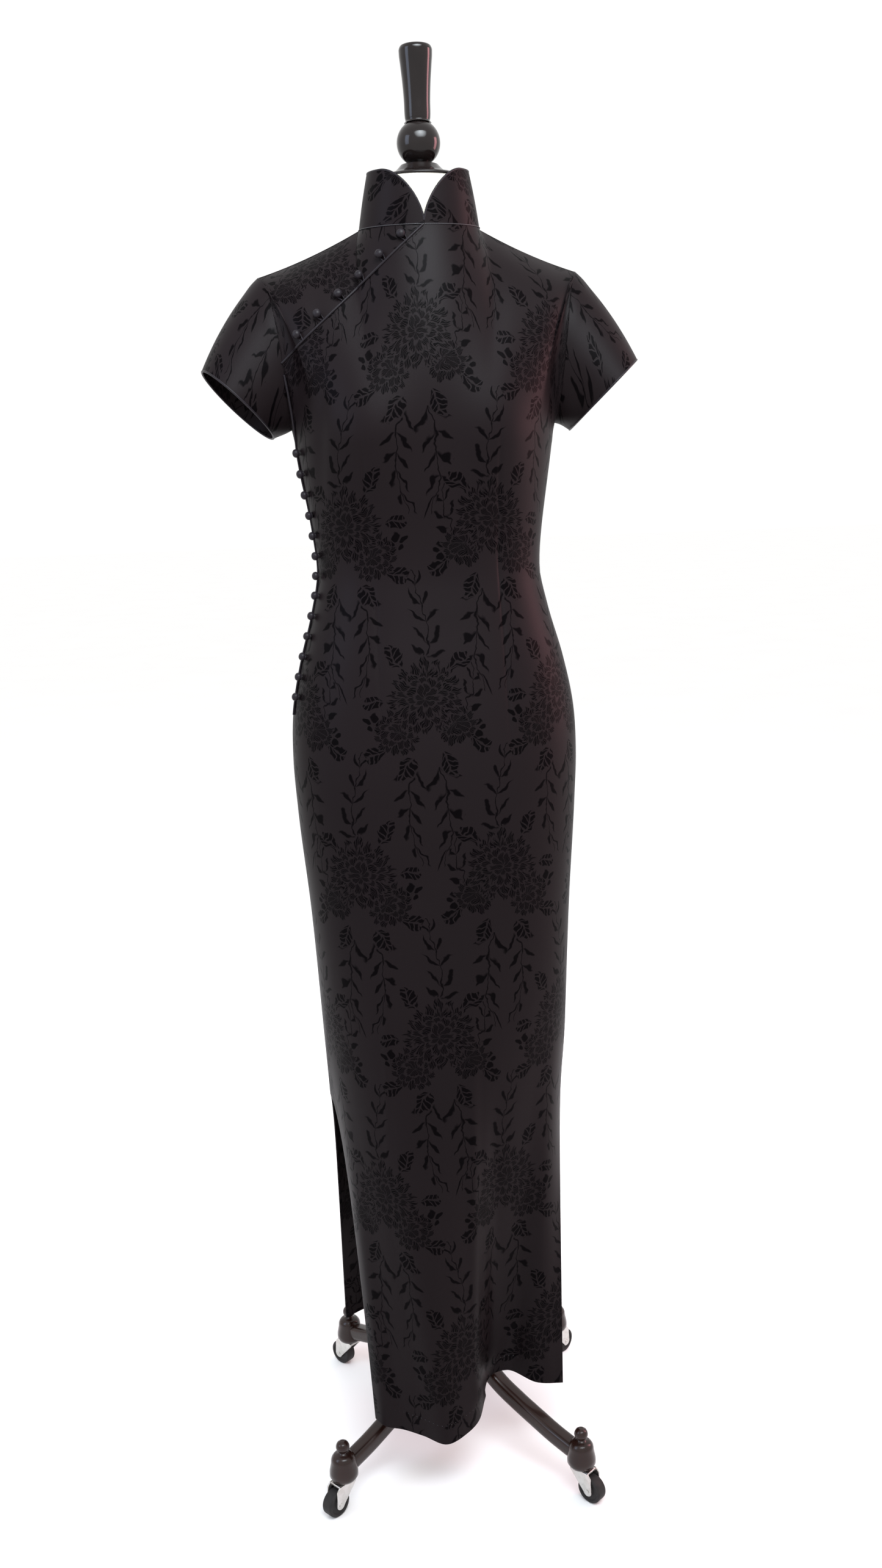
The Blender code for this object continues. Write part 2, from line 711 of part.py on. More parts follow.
def dress(cloth, piping):
    panel("front_panel", FRONT, cloth)
    panel("back_panel", BACK, cloth)
    yoke(cloth)
    for name, side in (("sleeve_right", -1), ("sleeve_left", 1)):
        outer, inner = sleeve_grid(side)
        wall_solid(name, outer, inner, cloth, ring=True)
        edge = (outer[:, -1] + inner[:, -1]) / 2
        down = unit(outer[:, -1] - outer[:, -2])
        path = edge + down * (CORD_RADIUS + CORD_LIFT)
        cord_solid(f"{name}_piping", path, down, piping, ring=True)
    outer, inner = collar_grid()
    wall_solid("collar", outer, inner, cloth)
    edge = (outer[:, -1] + inner[:, -1]) / 2
    rise = unit(np.gradient(edge, axis=0))
    radial = unit(outer[:, -1] - inner[:, -1])
    over = unit(np.cross(radial, rise))
    over = over * np.sign(over[:, 2:3])
    path = edge + over * (CORD_RADIUS + CORD_LIFT)
    cord_solid("collar_piping", path, over, piping)
    closure_cord(piping)
    side_cord(piping)
    facets = front_facets()
    closure_buttons(facets, piping)
    side_buttons(facets, piping)


# Dress form

def form_torso(cloth):
    """Padded body inside the dress, with flat arm ends, an open-topped neck closed above."""
    shares = panel_shares()
    lower = [level_of(z) for z in LOWER_LEVELS if z >= FORM_BOTTOM]
    levels = np.array(lower + [1 + (k + 1) / UPPER_ROWS for k in range(UPPER_ROWS)])
    sides = {}
    for face in (FRONT, BACK):
        share, level = np.meshgrid(shares, levels, indexing="ij")
        inward = np.full_like(share, WALL + FORM_GAP)
        seated = (level > 2 - NUDGE) & (share > NECK_SHARE) & (share < TIP_SHARE + NUDGE)
        near_arm = np.clip((np.abs(share) - 0.42) / 0.18, 0, 1) * np.clip((level - 1.25) / 0.3, 0, 1)
        inward += FORM_ARM_GAP * near_arm
        inward[seated] = WALL + SEAM
        points = dress_point(share, level, face)
        rise = 0.4 + np.clip((points[..., 2] - 1.475) / 0.03, 0, 1) * 1.2
        plain = np.stack([0.7 * np.sign(share), 0.6 * face + 0 * share, rise], axis=-1)
        outward = dress_normal(share, level, face)
        eased = unit(outward * (1 - near_arm[..., None]) + unit(plain) * near_arm[..., None])
        outward = np.where(seated[..., None], outward, eased)
        sides[face] = points - inward[..., None] * outward
    count = len(shares)
    rows = [np.concatenate([sides[FRONT][:, j], sides[BACK][count - 2:0:-1, j]])
            for j in range(len(levels))]
    bottom = rows[0]
    centre = bottom.mean(axis=0)
    foot = [centre + (bottom - centre) * (scale, scale, 1) - (0, 0, drop)
            for scale, drop in reversed(FORM_FOOT_ROWS)]
    rows = foot + rows
    around = len(bottom)
    shell = bmesh.new()
    rings = [[shell.verts.new(point) for point in row] for row in rows]
    for low, high in zip(rings, rings[1:]):
        for k in range(around):
            after = (k + 1) % around
            shell.faces.new((low[k], low[after], high[after], high[k]))
    shell.faces.new(reversed(rings[0]))
    top = rings[-1]
    on_neck = [k for k, share in enumerate(shares) if abs(share) <= NECK_SHARE + NUDGE]
    first, last = on_neck[0], on_neck[-1]
    front_part = top[first:last + 1]
    back_part = [top[(2 * (count - 1) - k) % around] for k in range(last - 1, first, -1)]
    neck = front_part + back_part
    below = neck
    for level in (0.16, 0.55, 1.0):
        ring = []
        for vertex in neck:
            turn = np.arctan2(vertex.co.x, -(vertex.co.y - NECK_BASE_Y))
            point = collar_ring(np.array(turn), level)
            middle = NECK_BASE_Y + (NECK_TOP_Y - NECK_BASE_Y) * level
            from_middle = point - np.array([0.0, middle, point[2]])
            size = np.linalg.norm(from_middle)
            point = point - from_middle / size * (COLLAR_WALL + FORM_NECK_GAP)
            point[2] = NECK_BASE_Z + (FORM_NECK_TOP_Z - NECK_BASE_Z) * level
            ring.append(shell.verts.new(point))
        for k in range(len(ring)):
            after = (k + 1) % len(ring)
            shell.faces.new((below[k], below[after], ring[after], ring[k]))
        below = ring
    bmesh.ops.remove_doubles(shell, verts=shell.verts, dist=0.0006)
    open_edges = [edge for edge in shell.edges if edge.is_boundary]
    bmesh.ops.holes_fill(shell, edges=open_edges, sides=0)
    bmesh.ops.recalc_face_normals(shell, faces=shell.faces)
    mesh = bpy.data.meshes.new("form_torso")
    shell.to_mesh(mesh)
    shell.free()
    return add_object("form_torso", mesh, cloth)


def form_top(lacquer):
    """Flared cap on the neck, and the ball with its flared handle."""
    x, y = CAP_CENTRE
    lathe("neck_cap", CAP_PROFILE, (x, y, FORM_NECK_TOP_Z + SEAM), lacquer, sides=24)
    start = -BALL_Z + FORM_NECK_TOP_Z + CAP_PROFILE[-1][1] + 2 * SEAM
    end = HANDLE_PROFILE[0][1] - BALL_Z - 0.0015
    ball = []
    steps = 7
    for k in range(steps + 1):
        height = start + (end - start) * (1 - cos(pi * k / steps)) / 2
        ball.append((sqrt(BALL_RADIUS**2 - height**2), BALL_Z + height))
    lathe("finial", ball + list(HANDLE_PROFILE), (x, y, 0.0), lacquer, sides=20)


# Stand

def leg_direction(angle):
    return Vector((cos(radians(angle)), sin(radians(angle)), 0.0))


def stand_leg(name, angle, wood):
    """Bent bar from the hub to its post, with its ends hollowed to fit them."""
    section = []
    half_width = LEG_WIDTH / 2
    half_height = LEG_HEIGHT / 2
    for across, up in ((1, 1), (-1, 1), (-1, -1), (1, -1)):
        side_first = (across * half_width, up * (half_height - LEG_CHAMFER))
        top_first = (across * (half_width - LEG_CHAMFER), up * half_height)
        section += [side_first, top_first] if across * up > 0 else [top_first, side_first]
    points = []
    for reach, height in LEG_PATH:
        points += [(reach, across, height + up) for across, up in section]
    sides = len(section)
    faces = [tuple(range(sides)), tuple(reversed(range(len(points) - sides, len(points))))]
    for k in range(len(LEG_PATH) - 1):
        low = k * sides
        for side in range(sides):
            turn = (side + 1) % sides
            faces.append((low + side, low + turn, low + sides + turn, low + sides + side))
    leg = solid_from(name, points, faces, wood)
    leg.rotation_euler = (0, 0, radians(angle))
    tall = 0.4
    for end, radius, centre in (("hub", HUB_RADIUS, Vector((0, 0, 0))),
                                ("post", POST_RADIUS, leg_direction(angle) * POST_REACH)):
        rod = ((radius + SEAM, -tall), (radius + SEAM, tall))
        cutter = lathe(f"cutter_{name}_{end}", rod, centre, wood, sides=48)
        cut(leg, f"fit {end}", cutter)
    return leg


def caster(name, angle, steel, rubber):
    """Swivelling fork under a post, and its wheel."""
    swivel = leg_direction(angle) * POST_REACH
    turn = Matrix.Rotation(radians(angle), 4, "Z")
    axle_z = WHEEL_RADIUS * cos(pi / WHEEL_SIDES)
    half_gap = WHEEL_WIDTH / 2 + FORK_CLEARANCE
    half_out = half_gap + FORK_CHEEK
    plate_z = FORK_TOP_Z - FORK_PLATE
    boss = 0.0062
    side_view = [(-0.0105, FORK_TOP_Z), (-0.0112, plate_z)]
    for k in range(9):
        way = radians(200 + 160 * k / 8)
        side_view.append((CASTER_TRAIL + boss * cos(way), axle_z + boss * sin(way)))
    side_view += [(CASTER_TRAIL + 0.0048, plate_z - 0.002), (0.0165, FORK_TOP_Z)]
    points = [(x, -half_out, z) for x, z in side_view] + [(x, half_out, z) for x, z in side_view]
    count = len(side_view)
    faces = [tuple(range(count)), tuple(reversed(range(count, 2 * count)))]
    for k in range(count):
        after = (k + 1) % count
        faces.append((k, after, count + after, count + k))
    fork = solid_from(f"caster_fork_{name}", points, faces, steel)
    fork.matrix_world = Matrix.Translation(swivel) @ turn
    reach = 0.05
    inner = [(-reach, -half_gap, -reach), (reach, -half_gap, -reach), (reach, half_gap, -reach),
             (-reach, half_gap, -reach), (-reach, -half_gap, plate_z), (reach, -half_gap, plate_z),
             (reach, half_gap, plate_z), (-reach, half_gap, plate_z)]
    box_faces = [(3, 2, 1, 0), (4, 5, 6, 7), (0, 1, 5, 4), (1, 2, 6, 5), (2, 3, 7, 6), (3, 0, 4, 7)]
    room = solid_from(f"cutter_fork_{name}", inner, box_faces, steel, smooth=False)
    room.matrix_world = fork.matrix_world
    cut(fork, "wheel room", room)
    axle_place = Matrix.Translation(swivel) @ turn @ Matrix.Translation((CASTER_TRAIL, 0, axle_z))
    half_axle = half_out + 0.0006
    pin = ((AXLE_RADIUS, -half_axle), (AXLE_RADIUS, half_axle))
    axle = lathe(f"cutter_axle_{name}", pin, (0, 0, 0), steel, sides=AXLE_SIDES, axis="Y")
    axle.matrix_world = axle_place
    axle.hide_render = True
    axle.display_type = "WIRE"
    join = fork.modifiers.new("axle", "BOOLEAN")
    join.operation = "UNION"
    join.object = axle
    wheel = wheel_solid(f"caster_wheel_{name}", rubber)
    wheel.matrix_world = axle_place
    return fork, wheel


def wheel_solid(name, rubber):
    """Wheel with a bored hub. One flat of its tread faces straight down."""
    half = WHEEL_WIDTH / 2
    bore = (AXLE_RADIUS + SEAM) / cos(pi / AXLE_SIDES)
    rims = ((bore, -half), (WHEEL_RADIUS - WHEEL_EDGE, -half), (WHEEL_RADIUS, -half + WHEEL_EDGE),
            (WHEEL_RADIUS, half - WHEEL_EDGE), (WHEEL_RADIUS - WHEEL_EDGE, half), (bore, half))
    points = []
    for radius, along in rims:
        for k in range(WHEEL_SIDES):
            angle = -pi / 2 + 2 * pi * (k + 0.5) / WHEEL_SIDES
            points.append((radius * cos(angle), along, radius * sin(angle)))
    faces = []
    for ring in range(len(rims)):
        low = ring * WHEEL_SIDES
        high = (ring + 1) % len(rims) * WHEEL_SIDES
        for k in range(WHEEL_SIDES):
            after = (k + 1) % WHEEL_SIDES
            faces.append((low + k, low + after, high + after, high + k))
    return solid_from(name, points, faces, rubber)


def stand(wood, steel, rubber):
    lathe("stand_hub", HUB_PROFILE, (0, 0, 0), wood, sides=24)
    pole = ((POLE_RADIUS, HUB_PROFILE[-1][1] + SEAM), (POLE_RADIUS, pole_top()))
    lathe("pole", pole, (0, 0, 0), steel, sides=16)
    for name, angle in LEG_ANGLES.items():
        stand_leg(f"stand_leg_{name}", angle, wood)
        centre = leg_direction(angle) * POST_REACH
        lathe(f"stand_post_{name}", POST_PROFILE, centre, wood, sides=16)
        caster(name, angle, steel, rubber)


def pole_top():
    lowest = min(z for z in LOWER_LEVELS if z >= FORM_BOTTOM)
    return lowest - FORM_FOOT_ROWS[-1][1] - SEAM


def main():
    clear_scene()
    cloth = make_material("black_jacquard", (0.020, 0.018, 0.022), 0.42)
    piping = make_material("black_satin", (0.012, 0.010, 0.013), 0.35)
    padding = make_material("white_cloth", (0.82, 0.78, 0.70), 0.85)
    lacquer = make_material("black_lacquer", (0.015, 0.010, 0.009), 0.18)
    wood = make_material("dark_wood", (0.060, 0.020, 0.012), 0.32)
    steel = make_material("bright_steel", (0.62, 0.62, 0.64), 0.28, 1.0)
    rubber = make_material("dark_rubber", (0.030, 0.030, 0.032), 0.6)
    dress(cloth, piping)
    form_torso(padding)
    form_top(lacquer)
    stand(wood, steel, rubber)


main()
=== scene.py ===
"""Looks of a cheongsam on its limbless dress form.

Metres, +Z up. The dress faces -Y, the wearer's right side is at -X, and the floor is z = 0.
"""

from math import cos, pi, radians, sin

import bmesh
import bpy
import numpy as np
from mathutils import Matrix, Vector

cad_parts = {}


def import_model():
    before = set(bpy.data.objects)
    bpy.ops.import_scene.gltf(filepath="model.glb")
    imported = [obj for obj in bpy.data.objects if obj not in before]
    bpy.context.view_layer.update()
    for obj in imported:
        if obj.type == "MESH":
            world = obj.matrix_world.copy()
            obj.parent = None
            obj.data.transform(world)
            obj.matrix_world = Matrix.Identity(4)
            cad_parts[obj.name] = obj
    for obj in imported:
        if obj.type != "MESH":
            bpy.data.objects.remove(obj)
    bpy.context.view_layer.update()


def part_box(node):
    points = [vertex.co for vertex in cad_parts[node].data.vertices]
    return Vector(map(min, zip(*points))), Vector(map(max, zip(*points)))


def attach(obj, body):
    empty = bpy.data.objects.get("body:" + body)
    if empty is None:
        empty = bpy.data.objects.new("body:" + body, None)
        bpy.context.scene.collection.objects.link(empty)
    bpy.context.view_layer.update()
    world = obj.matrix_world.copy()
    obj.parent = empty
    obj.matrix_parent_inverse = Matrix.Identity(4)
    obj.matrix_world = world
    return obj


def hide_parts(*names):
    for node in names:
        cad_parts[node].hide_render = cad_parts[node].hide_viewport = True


BODY = "dress_form"

# Camera of the photograph, and the floor
CAMERA_AZIMUTH = radians(-5.5)
CAMERA_DISTANCE = 1.75
CAMERA_HEIGHT = 1.27
CAMERA_YAW = radians(5.7)
CAMERA_PITCH = radians(11.9)
CAMERA_ROLL = radians(1.96)
CAMERA_FOCAL = 2350.0
IMAGE_HEIGHT = 2569.0
SENSOR_HEIGHT = 36.0
FLOOR_SIZE = 30.0

# Fine grids
FINE_COLUMNS = 220
FINE_LOWER_ROWS = 112
FINE_UPPER_ROWS = 44
FINE_YOKE_COLUMNS = 100
FINE_YOKE_ROWS = 30
FINE_SLEEVE_COLUMNS = 49
FINE_SLEEVE_ROWS = 26
FINE_COLLAR_ROWS = 18
TURNED_SIDES = 64

# Cloth
WALL = 0.0016
COLLAR_WALL = 0.0020
SEAM = -0.0002
ROUNDNESS = 2.25
FRONT = -1
BACK = 1
SOFT_WAVE = 0.0006
TURNED_EDGES = 0.02
LEAST_AREA_SHARE = 0.31
HEM_TURN_UP = 0.024

# Rows over which the upper part of a panel is evened out, and how strongly
RELAX_BELOW = 14
RELAX_ROWS = 12
RELAX_SHARE = 0.8
RELAX_TIMES = 40

# Heights of the body part
HEM_Z = 0.100
SLIT_Z = 0.500
FOLD_Z = 0.720
CHEST_Z = 1.310
APEX_X = 0.080
APEX_Z = 1.322
APEX_RISE = 0.013
APEX_SPREAD = (0.046, 0.060)

# Body of the dress, level by level, as worn on a general figure
FIGURE_COLUMNS = ("height", "half_width", "front", "back")
FIGURE = (
    (0.100, 0.149, 0.132, 0.140),
    (0.300, 0.149, 0.128, 0.136),
    (0.450, 0.150, 0.125, 0.132),
    (0.600, 0.156, 0.121, 0.128),
    (0.750, 0.163, 0.119, 0.126),
    (0.880, 0.1725, 0.119, 0.128),
    (0.940, 0.1750, 0.118, 0.128),
    (1.000, 0.1720, 0.114, 0.123),
    (1.060, 0.1600, 0.107, 0.112),
    (1.120, 0.1430, 0.099, 0.101),
    (1.170, 0.1334, 0.095, 0.094),
    (1.210, 0.1365, 0.098, 0.095),
    (1.250, 0.1420, 0.107, 0.100),
    (1.280, 0.1475, 0.114, 0.103),
    (1.310, 0.1515, 0.119, 0.106),
)

# Hem seen from above: share of the half panel from its centre, place and height
HEM_COLUMNS = ("share", "x", "y", "z")
HEM_FRONT = (
    (-1.00, -0.117, -0.113, 0.103),
    (-0.88, -0.106, -0.127, 0.101),
    (-0.72, -0.082, -0.137, 0.100),
    (-0.56, -0.059, -0.150, 0.098),
    (-0.36, -0.031, -0.167, 0.095),
    (-0.17, -0.003, -0.152, 0.097),
    (-0.02, 0.014, -0.134, 0.100),
    (0.16, 0.026, -0.104, 0.108),
    (0.32, 0.037, -0.079, 0.118),
    (0.52, 0.061, -0.067, 0.122),
    (0.76, 0.095, -0.089, 0.116),
    (1.00, 0.131, -0.087, 0.110),
)
HEM_BACK = (
    (-1.00, -0.145, 0.125, 0.100),
    (-0.72, -0.112, 0.140, 0.104),
    (-0.45, -0.078, 0.129, 0.106),
    (-0.20, -0.040, 0.150, 0.100),
    (0.05, 0.000, 0.170, 0.096),
    (0.30, 0.040, 0.160, 0.098),
    (0.55, 0.078, 0.138, 0.104),
    (0.80, 0.112, 0.140, 0.104),
    (1.00, 0.140, 0.118, 0.104),
)

# Collar ring at the neck
NECK_BASE_Z = 1.547
NECK_BACK_RISE = 0.007
COLLAR_HEIGHT = 0.058
COLLAR_BASE = (0.0685, 0.0610)
COLLAR_TOP = (0.0575, 0.0520)
NECK_BASE_Y = -0.028
NECK_TOP_Y = -0.034
COLLAR_OPEN = radians(52.0)
COLLAR_OPEN_POWER = 0.58
COLLAR_END = radians(1.6)
COLLAR_SEAT = 0.0004
COLLAR_SWELL = 0.0006

# Upper edge of the panels, as shares of the half panel from its centre
NECK_SHARE = 0.26
TIP_SHARE = 0.60
NECK_SIDE_TURN = radians(95.0)
SHOULDER_TIP = (0.186, 0.004, 1.5055)
SHOULDER_SAG = 0.0035
UNDERARM = (0.155, 0.0, 1.335)
ARMHOLE_INSET = 0.006
ARMHOLE_DEPTH = {FRONT: 0.051, BACK: 0.056}

# Direction in which the cloth arrives at its upper edge
ARRIVAL_COLUMNS = ("share", "across", "inward", "up", "pull")
ARRIVAL = (
    (0.00, 0.00, 0.30, 0.95, 0.85),
    (0.13, -0.05, 0.38, 0.90, 0.85),
    (0.26, -0.25, 0.72, 0.60, 0.85),
    (0.43, 0.00, 0.93, 0.35, 1.00),
    (0.60, 0.25, 0.90, 0.35, 1.20),
    (0.70, 0.45, 0.50, 0.72, 1.00),
    (0.80, 0.45, 0.10, 0.88, 0.85),
    (1.00, 0.08, 0.00, 1.00, 0.85),
)
LEAVE_ACROSS = 0.3

# Slanted closure from the middle of the neckline to the right armhole
CLOSURE_SLOPE = 0.86
YOKE_NECK_SHARE = 0.004
YOKE_ARM_SHARE = 0.8195
YOKE_UNDERLAP = 0.02
YOKE_INSET = 0.0004

# Sleeves
SLEEVE_OUTER = (0.2555, 0.000, 1.4030)
SLEEVE_INNER = (0.1760, 0.000, 1.3270)
SLEEVE_HALF_DEPTH = 0.058
SLEEVE_TILT = 0.009
SLEEVE_GAP = -0.0004
SLEEVE_CROWN = 0.006
SLEEVE_RIPPLE = 0.0011
SLEEVE_PUFF = 0.0007

# Corded edges, covered buttons with their loops, and stitches
CORD_RADIUS = 0.0013
CORD_RISE = 0.0008
SEAM_CORD_RADIUS = 0.0006
BUTTON_RADIUS = 0.0050
BUTTON_HEIGHT = 0.0082
CLOSURE_BUTTONS = 6
SIDE_BUTTONS = 13
SIDE_SHARE = -0.866
SIDE_CORD_SHARE = -0.93
SIDE_CORD_END_Z = 1.000
LOOP_RADIUS = 0.0007
LOOP_WIDTH = 0.0030
LOOP_TAPER = 0.0016
LOOP_REACH = 0.0085
LOOP_LIFT = 0.0006
STITCH_SPACING = 0.006
STITCH_LENGTH = 0.0012

# Dress form
FORM_CLEARANCE = 0.0055
FORM_ARM_GAP = 0.0030
FORM_BOTTOM = 0.760
FORM_NECK_GAP = 0.0030
FORM_NECK_TOP_Z = 1.6005
CAP_CENTRE = (0.002, -0.0345)
NECK_CAP = ((0.0466, 0.0000), (0.0478, 0.0008), (0.0480, 0.0018), (0.0470, 0.0032),
            (0.0380, 0.0052), (0.0300, 0.0085), (0.0250, 0.0128), (0.0215, 0.0165))
BALL_RADIUS = 0.0245
BALL_Z = 1.6405
HANDLE = ((0.0152, 1.6615), (0.0139, 1.6632), (0.0143, 1.6665), (0.0148, 1.6850),
          (0.0160, 1.7050), (0.0176, 1.7220), (0.0186, 1.7330), (0.0185, 1.7372),
          (0.0168, 1.7405), (0.0120, 1.7410))
POLE_RADIUS = 0.0125

# Stand
LEG_ANGLES = {"back_left": 41.0, "back_right": 131.0, "front_right": 221.0, "front_left": 311.0}
POST_REACH = 0.213
HUB_PROFILE = ((0.0190, 0.1130), (0.0255, 0.1165), (0.0280, 0.1220), (0.0280, 0.1540),
               (0.0255, 0.1600), (0.0190, 0.1650))
LEG_COLUMNS = ("place", "reach", "height")
LEG_PATH = ((0.018, 0.1390), (0.050, 0.1170), (0.080, 0.0985), (0.110, 0.0865),
            (0.140, 0.0765), (0.170, 0.0670), (0.204, 0.0590))
LEG_WIDTH = 0.021
LEG_HEIGHT = 0.020
POST_PROFILE = ((0.0118, 0.0418), (0.0158, 0.0440), (0.0158, 0.0660), (0.0150, 0.0715),
                (0.0118, 0.0760), (0.0066, 0.0785), (0.0052, 0.0800), (0.0082, 0.0842),
                (0.0086, 0.0880), (0.0068, 0.0922), (0.0030, 0.0948))

# Casters
WHEEL_SIDES = 20
WHEEL_RADIUS = 0.0172
WHEEL_WIDTH = 0.0150
TREAD_ROUND = 0.0022
AXLE_Z = WHEEL_RADIUS * cos(pi / WHEEL_SIDES)
CASTER_TRAIL = 0.0160
FORK_TOP_Z = 0.0415
FORK_PLATE = 0.0032
FORK_CHEEK = 0.0018
FORK_BOSS = 0.0062
FORK_CLEARANCE = 0.0007
AXLE_RADIUS = 0.0026


# Curves and tables

def hermite(start, end, leave, arrive, t):
    """Cubic from start to end with the two given end tangents."""
    return (start * (2 * t**3 - 3 * t**2 + 1) + leave * (t**3 - 2 * t**2 + t)
            + end * (3 * t**2 - 2 * t**3) + arrive * (t**3 - t**2))


def read_table(table, columns, name, at):
    """Smooth curve through one named column of a table, read at the given places."""
    places = np.array([row[0] for row in table])
    values = np.array([row[columns.index(name)] for row in table])
    slopes = np.gradient(values, places)
    at = np.clip(at, places[0], places[-1])
    low = np.clip(np.searchsorted(places, at, side="right") - 1, 0, len(places) - 2)
    step = places[low + 1] - places[low]
    t = (at - places[low]) / step
    return hermite(values[low], values[low + 1], slopes[low] * step, slopes[low + 1] * step, t)


def unit(vectors):
    return vectors / np.linalg.norm(vectors, axis=-1, keepdims=True)


def run_along(points, axis):
    """Distance along each row or column of a grid, from its first point."""
    step = np.linalg.norm(np.diff(points, axis=axis), axis=-1)
    start = np.zeros_like(np.take(step, [0], axis=axis))
    return np.concatenate([start, np.cumsum(step, axis=axis)], axis=axis)


def ring_step(points):
    """Way from the point before to the point after, all round a closed ring."""
    return np.roll(points, -1, axis=0) - np.roll(points, 1, axis=0)


# Surface of the dress

def figure_point(share, z, face):
    """Body of the dress without its hem folds. share runs from -1 to 1 across a panel."""
    half = read_table(FIGURE, FIGURE_COLUMNS, "half_width", z)
    deep = read_table(FIGURE, FIGURE_COLUMNS, "front" if face == FRONT else "back", z)
    across = np.sin(share * pi / 2)
    bulge = np.clip(1 - np.abs(across)**ROUNDNESS, 0, 1)**(1 / ROUNDNESS)
    return np.stack([half * across, face * (deep * bulge + SEAM / 2), z + 0 * share], axis=-1)


def hem_point(share, face):
    table = HEM_FRONT if face == FRONT else HEM_BACK
    return np.stack([read_table(table, HEM_COLUMNS, name, share) for name in "xyz"], axis=-1)


def fold_weight(share, z):
    """How far the cloth has moved from the figure to the folds of the hem."""
    edge = np.abs(share)**4
    start = FOLD_Z + (SLIT_Z - FOLD_Z) * edge
    way = np.clip((start - z) / (start - HEM_Z), 0, 1)
    return way**(1.25 - 0.65 * edge)


def lower_point(share, z, face):
    weight = fold_weight(share, z)[..., None]
    at_hem = hem_point(share, face)
    at_hem[..., 2] += z - HEM_Z
    return figure_point(share, z, face) * (1 - weight) + at_hem * weight


def collar_ring(turn, level):
    """Point on the collar: turn 0 is the front, level 0 its base and 1 its full height."""
    half_width = COLLAR_BASE[0] + (COLLAR_TOP[0] - COLLAR_BASE[0]) * level
    half_depth = COLLAR_BASE[1] + (COLLAR_TOP[1] - COLLAR_BASE[1]) * level
    middle = NECK_BASE_Y + (NECK_TOP_Y - NECK_BASE_Y) * level
    base = NECK_BASE_Z + NECK_BACK_RISE * (1 - np.cos(turn)) / 2
    return np.stack([half_width * np.sin(turn), middle - half_depth * np.cos(turn),
                     base + COLLAR_HEIGHT * level], axis=-1)


def shoulder_line(way):
    start = collar_ring(np.array(NECK_SIDE_TURN), 0.0)
    line = start * (1 - way[..., None]) + np.array(SHOULDER_TIP) * way[..., None]
    line[..., 2] -= 4 * SHOULDER_SAG * way * (1 - way)
    return line


def armhole_line(way, face):
    """Armhole edge from the shoulder tip, 0, to the underarm, 1."""
    tip = np.array(SHOULDER_TIP)
    low = np.array(UNDERARM)
    swing = np.sin(pi * way)
    x = tip[0] + (low[0] - tip[0]) * way - ARMHOLE_INSET * swing
    y = tip[1] + (low[1] - tip[1]) * way + face * ARMHOLE_DEPTH[face] * swing
    z = (tip[2] + low[2]) / 2 + (tip[2] - low[2]) / 2 * np.cos(pi * way)
    return np.stack([x, y, z], axis=-1)


def armhole_normal(way, face):
    """Outward direction of the cloth along the armhole of the +X side."""
    up = np.clip(1 - 1.5 * way, 0, 1)
    return unit(np.stack([way**1.5, face * np.sin(pi * way), up], axis=-1))


def upper_edge(share, face):
    """Neckline, shoulder seam and armhole edge, on the side that the share's sign gives."""
    reach = np.abs(share)
    turn = np.clip(reach / NECK_SHARE, 0, 1)
    if face == FRONT:
        turn = turn * NECK_SIDE_TURN
    else:
        turn = pi - turn * (pi - NECK_SIDE_TURN)
    along = np.clip((reach - NECK_SHARE) / (TIP_SHARE - NECK_SHARE), 0, 1)
    down = np.clip((reach - TIP_SHARE) / (1 - TIP_SHARE), 0, 1)
    edge = np.where((reach <= NECK_SHARE)[..., None], collar_ring(turn, 0.0),
                    np.where((reach <= TIP_SHARE)[..., None], shoulder_line(along),
                             armhole_line(down, face)))
    edge[..., 0] *= np.sign(share)
    edge[..., 1] += face * SEAM / 2
    return edge


def upper_point(share, way, face):
    """Cloth between the chest level, way 0, and the panel's upper edge, way 1."""
    step = 0.002
    level = np.full_like(share, CHEST_Z)
    start = figure_point(share, level, face)
    leave = start - figure_point(share, level - step, face)
    leave = unit(leave * (LEAVE_ACROSS, 1.0, 1.0))
    end = upper_edge(share, face)
    reach = np.abs(share)
    arrive = np.stack([read_table(ARRIVAL, ARRIVAL_COLUMNS, "across", reach) * np.sign(share),
                       -face * read_table(ARRIVAL, ARRIVAL_COLUMNS, "inward", reach),
                       read_table(ARRIVAL, ARRIVAL_COLUMNS, "up", reach)], axis=-1)
    length = np.linalg.norm(end - start, axis=-1)[..., None]
    pull = read_table(ARRIVAL, ARRIVAL_COLUMNS, "pull", reach)[..., None]
    return hermite(start, end, leave * length, unit(arrive) * length * pull, way[..., None])


def dress_point(share, level, face):
    """Outer face of the dress. level is 0 at the hem, 1 at the chest and 2 at the upper edge."""
    share, level = np.broadcast_arrays(np.asarray(share, float), np.asarray(level, float))
    z = HEM_Z + np.clip(level, 0, 1) * (CHEST_Z - HEM_Z)
    way = np.clip(level - 1, 0, 1)
    point = np.where((level <= 1)[..., None], lower_point(share, z, face),
                     upper_point(share, way, face))
    if face == FRONT:
        across = (np.abs(point[..., 0]) - APEX_X) / APEX_SPREAD[0]
        along = (point[..., 2] - APEX_Z) / APEX_SPREAD[1]
        point[..., 1] -= APEX_RISE * np.exp(-across**2 - along**2) * (1 - share**4)
    return point


